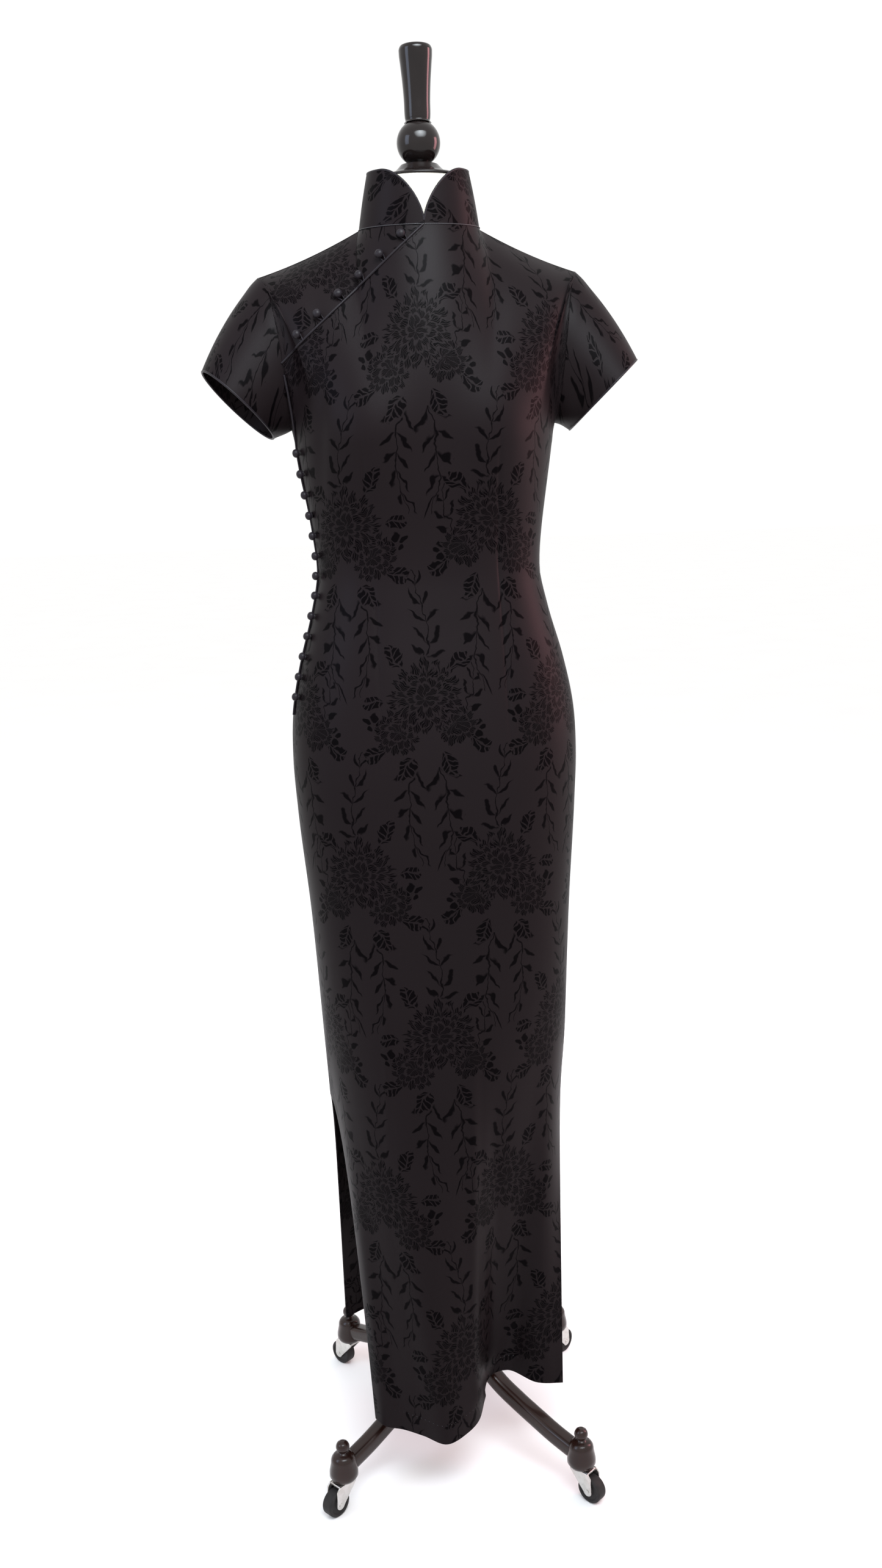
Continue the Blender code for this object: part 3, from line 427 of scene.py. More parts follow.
def dress_normal(share, level, face):
    step = 1e-4
    low = np.maximum(share - step, -1)
    high = np.minimum(share + step, 1)
    across = dress_point(high, level, face) - dress_point(low, level, face)
    under = np.maximum(level - step, 0)
    over = np.minimum(level + step, 2)
    up = dress_point(share, over, face) - dress_point(share, under, face)
    normal = -face * np.cross(across, up)
    at_side = (np.abs(share) > 0.9999) & (level >= level_of(SLIT_Z) - step)
    at_top = (level > 2 - step) & (np.abs(share) > NECK_SHARE - step)
    normal[..., 1] = np.where(at_side | at_top, 0, normal[..., 1])
    down = np.clip((np.abs(share) - TIP_SHARE) / (1 - TIP_SHARE), 0, 1)
    at_armhole = (level > 2 - step) & (np.abs(share) >= TIP_SHARE - step)
    along_arm = armhole_normal(down, face)
    along_arm[..., 0] *= np.sign(share)
    return unit(np.where(at_armhole[..., None], along_arm, normal))


def level_of(z):
    return (z - HEM_Z) / (CHEST_Z - HEM_Z)


def closure_height(x):
    return NECK_BASE_Z - CLOSURE_SLOPE * np.abs(x)


def closure_way(share):
    """Where the slanted closure crosses a column: a share of the upper part, or 1 above it."""
    if share >= 0 or share < -YOKE_ARM_SHARE - 0.02:
        return 1.0
    ways = np.linspace(0, 1, 801)
    points = dress_point(np.full_like(ways, share), 1 + ways, FRONT)
    over = points[:, 2] - closure_height(points[:, 0])
    crossed = np.nonzero(over >= 0)[0]
    if len(crossed) == 0 or crossed[0] == 0:
        return 1.0
    after = crossed[0]
    part = -over[after - 1] / (over[after] - over[after - 1])
    return ways[after - 1] + part * (ways[after] - ways[after - 1])


# Creases: height, side and depth along a line, its half width, and which way it goes
DART_LEFT = ((1.345, 0.075, 0.0), (1.270, 0.074, 1.0), (1.175, 0.074, 1.0), (1.127, 0.076, 1.0),
             (1.023, 0.079, 0.9), (0.946, 0.080, 0.0))
DART_RIGHT = ((1.345, -0.083, 0.0), (1.272, -0.080, 1.0), (1.175, -0.076, 1.0),
              (1.127, -0.071, 1.0), (1.023, -0.071, 0.9), (0.946, -0.073, 0.0))
PRESSED = ((0.940, -0.073, 0.0), (0.800, -0.077, 0.9), (0.600, -0.083, 0.8), (0.440, -0.089, 0.0))
FOLD_RIDGE = ((0.780, 0.026, 0.0), (0.640, 0.022, 0.7), (0.450, 0.018, 1.0), (0.130, 0.012, 0.8))
FOLD_VALLEY = ((0.560, 0.050, 0.0), (0.440, 0.047, 1.0), (0.110, 0.038, 1.0))
ARM_DRAG = ((1.405, -0.119, 0.0), (1.360, -0.122, 1.0), (1.270, -0.127, 0.7), (1.215, -0.129, 0.0))
BUST_DRAG = ((1.500, -0.057, 0.0), (1.472, -0.062, 1.0), (1.440, -0.069, 0.0))
BACK_LEFT = ((1.370, 0.072, 0.0), (1.290, 0.072, 1.0), (1.170, 0.070, 1.0), (1.020, 0.076, 0.9),
             (0.930, 0.078, 0.0))
BACK_RIGHT = tuple((z, -x, depth) for z, x, depth in BACK_LEFT)
FRONT_CREASES = (
    (DART_LEFT, 0.0013, 0.0018), (DART_LEFT, 0.0009, 0.0110),
    (DART_RIGHT, 0.0013, 0.0018), (DART_RIGHT, 0.0009, 0.0110),
    (PRESSED, -0.0012, 0.0045), (FOLD_RIDGE, -0.0022, 0.0080), (FOLD_VALLEY, 0.0035, 0.0140),
    (ARM_DRAG, 0.0017, 0.0070), (BUST_DRAG, 0.0012, 0.0060),
)
BACK_CREASES = (
    (BACK_LEFT, 0.0013, 0.0018), (BACK_LEFT, 0.0009, 0.0110),
    (BACK_RIGHT, 0.0013, 0.0018), (BACK_RIGHT, 0.0009, 0.0110),
)


# Cloth pieces

def crease_depth(x, z, face):
    """How far the cloth lies under its smooth surface at a place."""
    depth = 0.0 * x
    for line, size, half_width in FRONT_CREASES if face == FRONT else BACK_CREASES:
        heights, sides, shares = np.array(line)[::-1].T
        side = np.interp(z, heights, sides)
        share = np.interp(z, heights, shares)
        share = np.where((z < heights[0]) | (z > heights[-1]), 0, share)
        depth = depth + size * share * np.exp(-((x - side) / half_width)**2)
    return depth + SOFT_WAVE * np.sin(23 * x + 4.1 * z + 1.3 * np.sin(7 * z)) * np.sin(9 * z + 5 * x)


def new_object(name, data):
    item = bpy.data.objects.new(name, data)
    bpy.context.scene.collection.objects.link(item)
    return item


def shaded_object(name, mesh, material, sharp):
    """Object with a smooth surface that breaks at edges over the given angle."""
    mesh.shade_smooth()
    mesh.set_sharp_from_angle(angle=radians(sharp))
    mesh.materials.append(material)
    return new_object(name, mesh)


def mesh_object(name, points, faces, material, uv=None, sharp=40.0):
    mesh = bpy.data.meshes.new(name)
    mesh.from_pydata([tuple(point) for point in points], [], faces)
    mesh.update()
    if uv is not None:
        layer = mesh.uv_layers.new(name="UVMap")
        corners = np.zeros(len(mesh.loops), dtype=np.int32)
        mesh.loops.foreach_get("vertex_index", corners)
        layer.data.foreach_set("uv", np.asarray(uv, dtype=np.float32)[corners].ravel())
    shell = bmesh.new()
    shell.from_mesh(mesh)
    if shell.calc_volume(signed=True) < 0:
        bmesh.ops.reverse_faces(shell, faces=shell.faces)
    shell.to_mesh(mesh)
    shell.free()
    return shaded_object(name, mesh, material, sharp)


def wall_faces(columns, rows, ring):
    """Quads of a closed wall between two grids of the same size."""
    index = np.arange(columns * rows).reshape(columns, rows)
    half = columns * rows
    after = np.roll(index, -1, axis=0) if ring else index[1:]
    here = index if ring else index[:-1]
    corners = (here[:, :-1], after[:, :-1], after[:, 1:], here[:, 1:])
    outer = np.stack(corners, axis=-1).reshape(-1, 4)
    rims = [(after[:, 0], here[:, 0]), (here[:, -1], after[:, -1])]
    if not ring:
        rims += [(index[0, :-1], index[0, 1:]), (index[-1, 1:], index[-1, :-1])]
    rims = [np.stack([first, last, last + half, first + half], axis=-1) for first, last in rims]
    return np.concatenate([outer, outer[:, ::-1] + half, *rims]).tolist()


def cloth_uv(outer, middle):
    """Places on the cloth in metres: across from the middle column, and up along each column."""
    run = run_along(outer, 0)
    return run - run[middle], outer[:, :1, 2] + run_along(outer, 1)


def cloth_wall(name, outer, normal, places, material, wall=WALL, ring=False):
    """Closed wall under an outer face, and the middle line of its upper edge."""
    inner = outer - wall * normal
    uv = np.tile(np.stack(places, axis=-1).reshape(-1, 2), (2, 1))
    points = np.concatenate([outer.reshape(-1, 3), inner.reshape(-1, 3)])
    item = mesh_object(name, points, wall_faces(*outer.shape[:2], ring), material, uv=uv)
    return item, (outer[:, -1] + inner[:, -1]) / 2


def flat_size(outer, closed=False):
    """Width, length and area of the cloth that a grid of points takes."""
    if closed:
        outer = np.concatenate([outer, outer[:1]])
    across = np.diff(outer, axis=0)
    up = np.diff(outer, axis=1)
    area = np.linalg.norm(np.cross(across[:, :-1], up[:-1]), axis=-1).sum()
    return run_along(outer, 0)[-1].max(), run_along(outer, 1)[:, -1].max(), area


def declare_cloth(outer, closed=False, rows=None):
    """With rows, its width is taken below that row."""
    width, length, area = flat_size(outer, closed)
    if rows is not None:
        width = flat_size(outer[:, :rows])[0]
    width = round(float(width) + TURNED_EDGES, 3)
    length = round(float(length) + TURNED_EDGES, 3)
    area = max(float(area), LEAST_AREA_SHARE * width * length)


def finish_piece(item, slot, *nodes, body=BODY):
    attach(item, body)
    if nodes:
        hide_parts(*nodes)


def relaxed(points, normal, first_row):
    """Evens out the upper part of a grid along its normals, with its edges kept."""
    points = points.copy()
    rows = np.arange(points.shape[1])[1:-1]
    share = np.clip((rows - first_row) / RELAX_ROWS, 0, 1)[None, :, None] * RELAX_SHARE
    out = normal[1:-1, 1:-1]
    for _ in range(RELAX_TIMES):
        middle = (points[:-2, 1:-1] + points[2:, 1:-1] + points[1:-1, :-2] + points[1:-1, 2:]) / 4
        step = ((middle - points[1:-1, 1:-1]) * out).sum(axis=-1, keepdims=True)
        points[1:-1, 1:-1] += share * step * out
    return points


def creased(shares, levels, face, first_row=None):
    """Outer face of a grid of the dress with its creases, and its outward directions."""
    grid = shares[:, None] + 0 * levels
    outer = dress_point(grid, levels, face)
    normal = dress_normal(grid, levels, face)
    if first_row is not None:
        outer = relaxed(outer, normal, first_row)
    edge = np.clip((2 - levels) / 0.12, 0, 1) * np.clip((1 - np.abs(grid)) / 0.03, 0, 1)
    depth = crease_depth(outer[..., 0], outer[..., 2], face) * edge
    return outer - depth[..., None] * normal, normal


def fine_panel(name, face, material, lift):
    """Panel from its hem to its upper edge, or to the slanted closure on the front."""
    shares = np.linspace(-1, 1, FINE_COLUMNS + 1)
    lower = np.linspace(0, 1, FINE_LOWER_ROWS + 1)
    upper = np.linspace(0, 1, FINE_UPPER_ROWS + 1)[1:]
    tops = [closure_way(share) if face == FRONT else 1.0 for share in shares]
    levels = np.array([np.concatenate([lower, 1 + top * upper]) for top in tops])
    outer, normal = creased(shares, levels, face, FINE_LOWER_ROWS - RELAX_BELOW)
    u, v = cloth_uv(outer, len(shares) // 2)
    item, _ = cloth_wall(name, outer, normal, (u, v + lift), material)
    return item, outer


def fine_yoke(material):
    """Small front, which reaches a little under the slanted closure."""
    shares = np.linspace(-YOKE_ARM_SHARE, -YOKE_NECK_SHARE, FINE_YOKE_COLUMNS)
    starts = np.array([closure_way(share) for share in shares])
    starts = np.clip(starts - YOKE_UNDERLAP, 0, 0.999)[:, None]
    levels = 1 + starts + (1 - starts) * np.linspace(0, 1, FINE_YOKE_ROWS + 1)
    outer, normal = creased(shares, levels, FRONT)
    outer = outer - YOKE_INSET * normal
    u, v = cloth_uv(outer, len(shares) - 1)
    item, _ = cloth_wall("front_yoke_cloth", outer, normal, (u + 0.04, v + 0.11), material,
                         wall=WALL - YOKE_INSET)
    return item, outer


def fine_sleeve(name, side, material):
    """Set-in sleeve with a slightly eased head, from the shoulder round by the front."""
    half = np.linspace(0, 1, FINE_SLEEVE_COLUMNS)
    start = np.concatenate([armhole_line(half, FRONT), armhole_line(half, BACK)[-2:0:-1]])
    outward = np.concatenate([armhole_normal(half, FRONT), armhole_normal(half, BACK)[-2:0:-1]])
    start = start + SLEEVE_GAP * unit(np.cross(outward, ring_step(start)))
    outer_end = np.array(SLEEVE_OUTER)
    middle = (outer_end + SLEEVE_INNER) / 2
    turns = np.concatenate([pi * half, (2 * pi - pi * half)[-2:0:-1]])
    half_depth = np.array([0.0, -SLEEVE_HALF_DEPTH, SLEEVE_TILT])
    end = (middle + np.cos(turns)[:, None] * (outer_end - middle)
           + np.sin(turns)[:, None] * half_depth)
    along = np.linspace(0, 1, FINE_SLEEVE_ROWS + 1)[None, :, None]
    outer = start[:, None] * (1 - along) + end[:, None] * along
    at_top = np.clip(np.cos(turns), 0, 1)[:, None]
    crown = at_top * np.array([0.7, 0.0, 0.7])
    outer = outer + SLEEVE_CROWN * 4 * along * (1 - along) * crown[:, None]
    normal = unit(np.cross(ring_step(outer), np.gradient(outer, axis=1)))
    normal[:, 0] = outward
    at_foot = np.clip(-np.cos(turns) + 0.25, 0, 1)[:, None]
    rise = along[..., 0]
    ripple = SLEEVE_RIPPLE * np.sin(5 * turns + side)[:, None] * at_foot * np.sin(pi * rise)
    puff = SLEEVE_PUFF * at_top * np.exp(-((rise - 0.09) / 0.08)**2)
    outer = outer + (ripple + puff)[..., None] * normal
    places = ((run_along(outer, 0) + 0.033) * side, 0.30 - run_along(outer, 1))
    for grid in (outer, normal):
        grid[..., 0] *= side
    item, edge = cloth_wall(f"{name}_cloth", outer, normal, places, material, ring=True)
    down = unit(outer[:, -1] - outer[:, -2])
    return item, outer, edge + down * (CORD_RADIUS * 0.6)


def collar_share(turns):
    """Share of the full height that the collar has above each place of its base."""
    from_front = np.minimum(turns, 2 * pi - turns) / COLLAR_OPEN
    return (1 - (1 - np.clip(from_front, 0, 1))**2)**COLLAR_OPEN_POWER


def fine_collar(material):
    """Stand collar with the lines of its upper edge and of its seam."""
    first = COLLAR_END * 0.12
    half = first + (COLLAR_OPEN - first) * np.linspace(0, 1, 46)**1.5
    right = np.concatenate([half, np.linspace(COLLAR_OPEN, pi, 40)[1:]])
    turns = np.concatenate([right, (2 * pi - right[:-1])[::-1]])
    levels = collar_share(turns)[:, None] * np.linspace(0, 1, FINE_COLLAR_ROWS + 1)
    grid = turns[:, None] + 0 * levels
    outer = collar_ring(grid, levels)
    outer[..., 2] -= COLLAR_SEAT * (1 - levels)
    normal = unit(np.stack([np.sin(grid) * COLLAR_BASE[1], -np.cos(grid) * COLLAR_BASE[0],
                            0 * grid], axis=-1))
    outer = outer + COLLAR_SWELL * np.sin(pi * levels)[..., None] * normal
    places = (run_along(outer, 0) + 0.02, outer[..., 2])
    item, edge = cloth_wall("collar_cloth", outer, normal, places, material, wall=COLLAR_WALL)
    edge[:, 2] += CORD_RADIUS * 0.4
    return item, outer, edge, outer[:, 0] + 0.0002 * normal[:, 0]


# Cords, loops and buttons

def tube_faces(count, sides, first=0, closed=False):
    """Quads between the rings of a tube whose points are numbered on from first."""
    faces = []
    for k in range(count if closed else count - 1):
        low = first + k * sides
        high = first + (k + 1) % count * sides
        for side in range(sides):
            turn = (side + 1) % sides
            faces.append((low + side, low + turn, high + turn, high + side))
    return faces


def end_caps(count, sides):
    return [tuple(range(sides)), tuple(reversed(range((count - 1) * sides, count * sides)))]


def cord(name, path, radius, material, closed=False, sides=12):
    """Round cord along a path, as a closed tube."""
    path = np.asarray(path, float)
    ahead = unit(ring_step(path) if closed else np.gradient(path, axis=0))
    beside = np.zeros_like(path)
    frame = unit(np.cross(ahead[0], (0.3, 0.2, 0.93)))
    for k, forward in enumerate(ahead):
        frame = unit(frame - forward * np.dot(frame, forward))
        beside[k] = frame
    over = np.cross(ahead, beside)
    angles = 2 * pi * np.arange(sides) / sides
    rings = (path[:, None] + radius * (np.cos(angles)[None, :, None] * beside[:, None]
                                       + np.sin(angles)[None, :, None] * over[:, None]))
    faces = tube_faces(len(path), sides, closed=closed)
    if not closed:
        faces += end_caps(len(path), sides)
    uv = np.stack(np.broadcast_arrays(run_along(path, 0)[:, None], angles * radius), axis=-1)
    return mesh_object(name, rings.reshape(-1, 3), faces, material, uv=uv.reshape(-1, 2), sharp=80)


def covered_ball(name, centre, outward, material):
    """Cloth-covered button: a flattened ball on a short neck, with pleats towards its foot."""
    rows, sides = 20, 28
    rotation = np.array(Vector(outward).to_track_quat("Z", "Y").to_matrix())
    turn = 2 * pi * np.arange(sides) / sides
    rings = []
    for angle in pi * (0.04 + 0.92 * np.arange(rows + 1) / rows):
        pleat = 1 + 0.012 * np.cos(7 * turn) * max(0.0, -cos(angle))
        radius = BUTTON_RADIUS * 0.99 * sin(angle)**0.92 * pleat
        height = np.full(sides, -BUTTON_HEIGHT / 2 * cos(angle))
        rings.append(np.stack([radius * np.cos(turn), radius * np.sin(turn), height], axis=-1))
    points = centre + np.concatenate(rings) @ rotation.T
    faces = end_caps(rows + 1, sides) + tube_faces(rows + 1, sides)
    return mesh_object(name, points, faces, material)


def button_loop(name, centre, outward, toward, material):
    """Thin cord loop that runs from the closing edge round the foot of a button."""
    outward = unit(outward)
    toward = unit(toward - outward * np.dot(toward, outward))
    side = np.cross(outward, toward)
    foot = centre - outward * (BUTTON_HEIGHT / 2 - LOOP_LIFT)
    ring = [foot + LOOP_WIDTH * (side * sin(turn) - toward * cos(turn))
            for turn in np.linspace(-pi / 2, pi / 2, 13)]
    ways = np.linspace(0, 1, 7)[1:]
    first, last = [[foot + toward * LOOP_REACH * way + hand * side * (LOOP_WIDTH - LOOP_TAPER * way)
                    for way in ways] for hand in (-1, 1)]
    return cord(name, first[::-1] + ring + last, LOOP_RADIUS, material, sides=8)


def closure_line(count):
    shares = -np.linspace(YOKE_NECK_SHARE, YOKE_ARM_SHARE, count)
    levels = np.array([1 + closure_way(share) for share in shares])
    return dress_point(shares, levels, FRONT), dress_normal(shares, levels, FRONT)


def smooth_path(path, times=6):
    """Evens out a path without moving its ends."""
    path = path.copy()
    for _ in range(times):
        path[1:-1] = (path[:-2] + 2 * path[1:-1] + path[2:]) / 4
    return path


def closing_cords(material):
    """Cord along the slanted closure, round the front of the armhole and down the side."""
    points, outward = closure_line(150)
    corner = closure_way(-YOKE_ARM_SHARE)
    way = np.linspace(0, 1, 50)[1:]
    heights = np.linspace(CHEST_Z, SIDE_CORD_END_Z, 90)[1:]
    shares = np.concatenate([-(YOKE_ARM_SHARE + (-SIDE_CORD_SHARE - YOKE_ARM_SHARE) * np.sqrt(way)),
                             np.full_like(heights, SIDE_CORD_SHARE)])
    levels = np.concatenate([1 + corner * 0.985 * (1 - way), level_of(heights)])
    side = dress_point(shares, levels, FRONT) + dress_normal(shares, levels, FRONT) * CORD_RISE
    return (cord("closure_cord", smooth_path(points + outward * CORD_RISE), CORD_RADIUS, material),
            cord("side_cord", smooth_path(side), CORD_RADIUS, material))


def nearest_outward(place):
    """Outward direction of the front at its point nearest to a place on the breast."""
    shares = np.linspace(-0.85, 0.02, 90)
    levels = 1 + np.linspace(0.3, 1.0, 90)
    off = ((dress_point(shares[:, None], levels, FRONT) - place)**2).sum(axis=-1)
    share, level = np.unravel_index(np.argmin(off), off.shape)
    return dress_normal(shares[[share]], levels[[level]], FRONT)[0]


def buttons(material):
    """Covered balls and their loops, down the slanted closure and down the side."""
    line, _ = closure_line(300)
    names = [f"closure_{k + 1}" for k in range(CLOSURE_BUTTONS)]
    names += [f"side_{k + 1}" for k in range(SIDE_BUTTONS)]
    for name in names:
        low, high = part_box(f"button_{name}")
        centre = np.array((low + high) / 2)
        if name.startswith("closure"):
            outward = nearest_outward(centre)
            edge = line[np.argmin(((line - centre)**2).sum(axis=-1))]
        else:
            level = np.array([level_of(centre[2])])
            outward = dress_normal(np.array([SIDE_SHARE]), level, FRONT)[0]
            edge = dress_point(np.array([SIDE_CORD_SHARE]), level, FRONT)[0]
        ball = covered_ball(f"ball_{name}", centre, outward, material)
        finish_piece(ball, "piping", f"button_{name}")
        loop = button_loop(f"loop_{name}", centre, outward, edge - centre, material)
        finish_piece(loop, "piping")


def stitches(name, path, outward, material):
    """Row of short hand stitches along a path on the cloth."""
    run = run_along(path, 0)
    points = []
    faces = []
    for start in np.arange(STITCH_SPACING, run[-1] - STITCH_SPACING, STITCH_SPACING):
        ends = [np.array([np.interp(place, run, path[:, axis]) for axis in range(3)])
                for place in (start, start + STITCH_LENGTH)]
        out = unit(np.array([np.interp(start, run, outward[:, axis]) for axis in range(3)]))
        side = np.cross(out, unit(ends[1] - ends[0])) * 0.00022
        first = len(points)
        for end in ends:
            points += [end + side, end + out * 0.00028, end - side, end - out * 0.0002]
        faces += tube_faces(2, 4, first)
        faces.append((first, first + 3, first + 2, first + 1))
        faces.append((first + 4, first + 5, first + 6, first + 7))
    return mesh_object(name, points, faces, material)


def dress(materials):
    cloth, satin, thread = materials["cloth"], materials["satin"], materials["thread"]
    front, front_grid = fine_panel("front_panel_cloth", FRONT, cloth, 0.0)
    finish_piece(front, "cloth", "front_panel")
    back, back_grid = fine_panel("back_panel_cloth", BACK, cloth, 0.09)
    finish_piece(back, "cloth", "back_panel")
    yoke, yoke_grid = fine_yoke(cloth)
    finish_piece(yoke, "cloth", "front_yoke")
    collar, collar_grid, collar_edge, collar_base = fine_collar(cloth)
    finish_piece(collar, "cloth", "collar")
    seam = cord("collar_seam", collar_base, SEAM_CORD_RADIUS, thread, sides=8)
    finish_piece(seam, "cloth")
    collar_cord = cord("collar_cord", collar_edge, CORD_RADIUS, satin)
    finish_piece(collar_cord, "piping", "collar_piping")
    declare_cloth(collar_grid)
    for name, side in (("sleeve_right", -1), ("sleeve_left", 1)):
        item, grid, edge = fine_sleeve(name, side, cloth)
        finish_piece(item, "cloth", name)
        hem_cord = cord(f"{name}_cord", edge, CORD_RADIUS, satin, closed=True)
        finish_piece(hem_cord, "piping", f"{name}_piping")
        declare_cloth(grid, closed=True)
    closure, side_line = closing_cords(satin)
    finish_piece(closure, "piping", "closure_piping")
    finish_piece(side_line, "piping", "side_piping")
    declare_cloth(front_grid, rows=FINE_LOWER_ROWS)
    declare_cloth(back_grid, rows=FINE_LOWER_ROWS)
    declare_cloth(yoke_grid)
    buttons(satin)
    shares = np.linspace(-0.97, 0.97, 200)
    level = np.full_like(shares, level_of(HEM_Z + HEM_TURN_UP))
    for face, name in ((FRONT, "front_hem_stitches"), (BACK, "back_hem_stitches")):
        path = dress_point(shares, level, face)
        row = stitches(name, path, dress_normal(shares, level, face), thread)
        finish_piece(row, "cloth")


# Form and stand

def smooth_profile(profile, steps=5):
    """More rings between those of a turned profile, on a smooth curve through them."""
    points = np.array(profile)
    run = run_along(points, 0)
    step = np.diff(run)
    slope = np.gradient(points, run, axis=0)
    rings = [hermite(points[k], points[k + 1], slope[k] * step[k], slope[k + 1] * step[k], way)
             for k in range(len(step)) for way in np.arange(steps) / steps]
    return [(max(float(radius), 0.0002), float(along)) for radius, along in rings + [points[-1]]]


def turned(name, profile, centre, material, bend=None):
    """Turned piece about a vertical axis, or about the axis that bend turns it to."""
    angles = 2 * pi * (np.arange(TURNED_SIDES) + 0.5) / TURNED_SIDES
    radius, along = np.array(profile).T[..., None]
    rings = (radius * np.cos(angles), radius * np.sin(angles), along + 0 * angles)
    points = np.stack(rings, axis=-1).reshape(-1, 3)
    if bend is not None:
        points = points @ np.array(bend.to_3x3()).T
    points = points + np.array(centre)
    faces = end_caps(len(profile), TURNED_SIDES) + tube_faces(len(profile), TURNED_SIDES)
    uv = np.stack(np.broadcast_arrays(angles * 0.02, along), axis=-1)
    return mesh_object(name, points, faces, material, uv=uv.reshape(-1, 2), sharp=50)


def closed_rings(rings, first):
    """Faces of a stack of rings whose points are numbered on from first, with its foot shut."""
    around = rings.shape[1]
    return [tuple(range(first, first + around))[::-1]] + tube_faces(len(rings), around, first)


def fine_torso(padding):
    """Padded body just inside the dress, and its neck inside the collar."""
    shares = np.linspace(-1, 1, 91)
    lower = level_of(np.linspace(FORM_BOTTOM, CHEST_Z, 60))
    levels = np.concatenate([lower, 1 + np.linspace(0, 1, 27)[1:]])
    share, level = np.meshgrid(shares, levels, indexing="ij")
    near_arm = np.clip((np.abs(share) - 0.42) / 0.18, 0, 1) * np.clip((level - 1.25) / 0.3, 0, 1)
    sides = {}
    for face in (FRONT, BACK):
        points = dress_point(share, level, face)
        rise = 0.4 + np.clip((points[..., 2] - 1.475) / 0.03, 0, 1) * 1.2
        plain = np.stack([0.7 * np.sign(share), 0.6 * face + 0 * share, rise], axis=-1)
        outward = dress_normal(share, level, face)
        eased = unit(outward * (1 - near_arm[..., None]) + unit(plain) * near_arm[..., None])
        inward = WALL + FORM_CLEARANCE + FORM_ARM_GAP * near_arm
        sides[face] = (points - inward[..., None] * eased).transpose(1, 0, 2)
    rings = np.concatenate([sides[FRONT], sides[BACK][:, -2:0:-1]], axis=1)
    middle = rings[0].mean(axis=0)
    feet = []
    for way in np.linspace(1, 0.08, 8):
        scale = 1 - 0.16 * way**2
        feet.append(middle + (rings[0] - middle) * (scale, scale, 1) - (0, 0, 0.020 * way**0.6))
    rings = np.concatenate([np.array(feet), rings])
    faces = closed_rings(rings, 0)
    around = rings.shape[1]
    top = (len(rings) - 1) * around
    for k in range(len(shares) - 1):
        ends = (k, k + 1, (around - k - 1) % around, (around - k) % around)
        faces.append(tuple(dict.fromkeys(top + end for end in ends)))
    turns = np.linspace(0, 2 * pi, 97)[:-1]
    neck = []
    for up in np.linspace(-0.25, 1, 22):
        level = max(up, 0.0)
        ring = collar_ring(turns, np.full_like(turns, level))
        centre = NECK_BASE_Y + (NECK_TOP_Y - NECK_BASE_Y) * level
        ring = ring - unit((ring - (0, centre, 0)) * (1, 1, 0)) * (COLLAR_WALL + FORM_NECK_GAP)
        ring[:, 2] = NECK_BASE_Z + (FORM_NECK_TOP_Z - NECK_BASE_Z) * up
        neck.append(ring)
    neck = np.array(neck)
    first = len(rings) * around
    faces += closed_rings(neck, first)
    last = first + (len(neck) - 1) * neck.shape[1]
    faces.append(tuple(range(last, last + neck.shape[1])))
    points = np.concatenate([rings.reshape(-1, 3), neck.reshape(-1, 3)])
    return mesh_object("torso_padded", points, faces, padding, sharp=60)


def form(materials):
    lacquer = materials["lacquer"]
    torso = fine_torso(materials["padding"])
    finish_piece(torso, "padding", "form_torso")
    x, y = CAP_CENTRE
    cap = turned("neck_cap_turned", smooth_profile(NECK_CAP), (x, y, FORM_NECK_TOP_Z), lacquer)
    finish_piece(cap, "lacquer", "neck_cap")
    ball = [(BALL_RADIUS * sin(turn), BALL_Z - BALL_RADIUS * cos(turn))
            for turn in np.radians(28 + 124 * np.arange(25) / 24)]
    foot = [(0.0150, BALL_Z - 0.0238), (0.0128, BALL_Z - 0.0228)]
    knob = turned("finial_turned", foot + ball + smooth_profile(HANDLE), (x, y, 0.0), lacquer)
    finish_piece(knob, "lacquer", "finial")
    low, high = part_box("pole")
    tube = [(POLE_RADIUS, low.z - 0.001), (POLE_RADIUS, high.z)]
    finish_piece(turned("pole_tube", tube, (0, 0, 0), materials["steel"]), "steel", "pole")


def direction(angle):
    return np.array([cos(radians(angle)), sin(radians(angle)), 0.0])


def fine_leg(name, angle, wood):
    """Bowed leg with softened corners, from inside the hub to inside its post."""
    path = LEG_PATH + ((POST_REACH - 0.004, 0.0575),)
    rows = [(place, *point) for place, point in zip(np.linspace(0, 1, len(path)), path)]
    run = np.linspace(0, 1, 60)
    line = np.stack([read_table(rows, LEG_COLUMNS, column, run) for column in LEG_COLUMNS[1:]],
                    axis=-1)
    section = []
    for turn in 2 * pi * np.arange(32) / 32:
        size = (abs(cos(turn))**4 + abs(sin(turn))**4)**-0.25
        section.append((LEG_WIDTH / 2 * size * cos(turn), LEG_HEIGHT / 2 * size * sin(turn)))
    out = direction(angle)
    across = np.array([-out[1], out[0], 0.0])
    points = []
    for (reach, height), (ahead, rise) in zip(line, unit(np.gradient(line, axis=0))):
        over = np.array([0.0, 0.0, ahead]) - out * rise
        centre = out * reach + np.array([0.0, 0.0, height])
        points += [centre + across * side + over * up for side, up in section]
    sides = len(section)
    faces = end_caps(len(line), sides) + tube_faces(len(line), sides)
    uv = np.stack([np.tile(np.arange(sides) * 0.0025, len(line)),
                   np.repeat(np.arange(len(line)) * 0.0035, sides)], axis=-1)
    return mesh_object(name, points, faces, wood, uv=uv)


def add_prism(shell, first, last):
    """Closed solid between two outlines that have as many corners."""
    near = [shell.verts.new(place) for place in first]
    far = [shell.verts.new(place) for place in last]
    shell.faces.new(near)
    shell.faces.new(reversed(far))
    for k in range(len(near)):
        after = (k + 1) % len(near)
        shell.faces.new((near[after], near[k], far[k], far[after]))


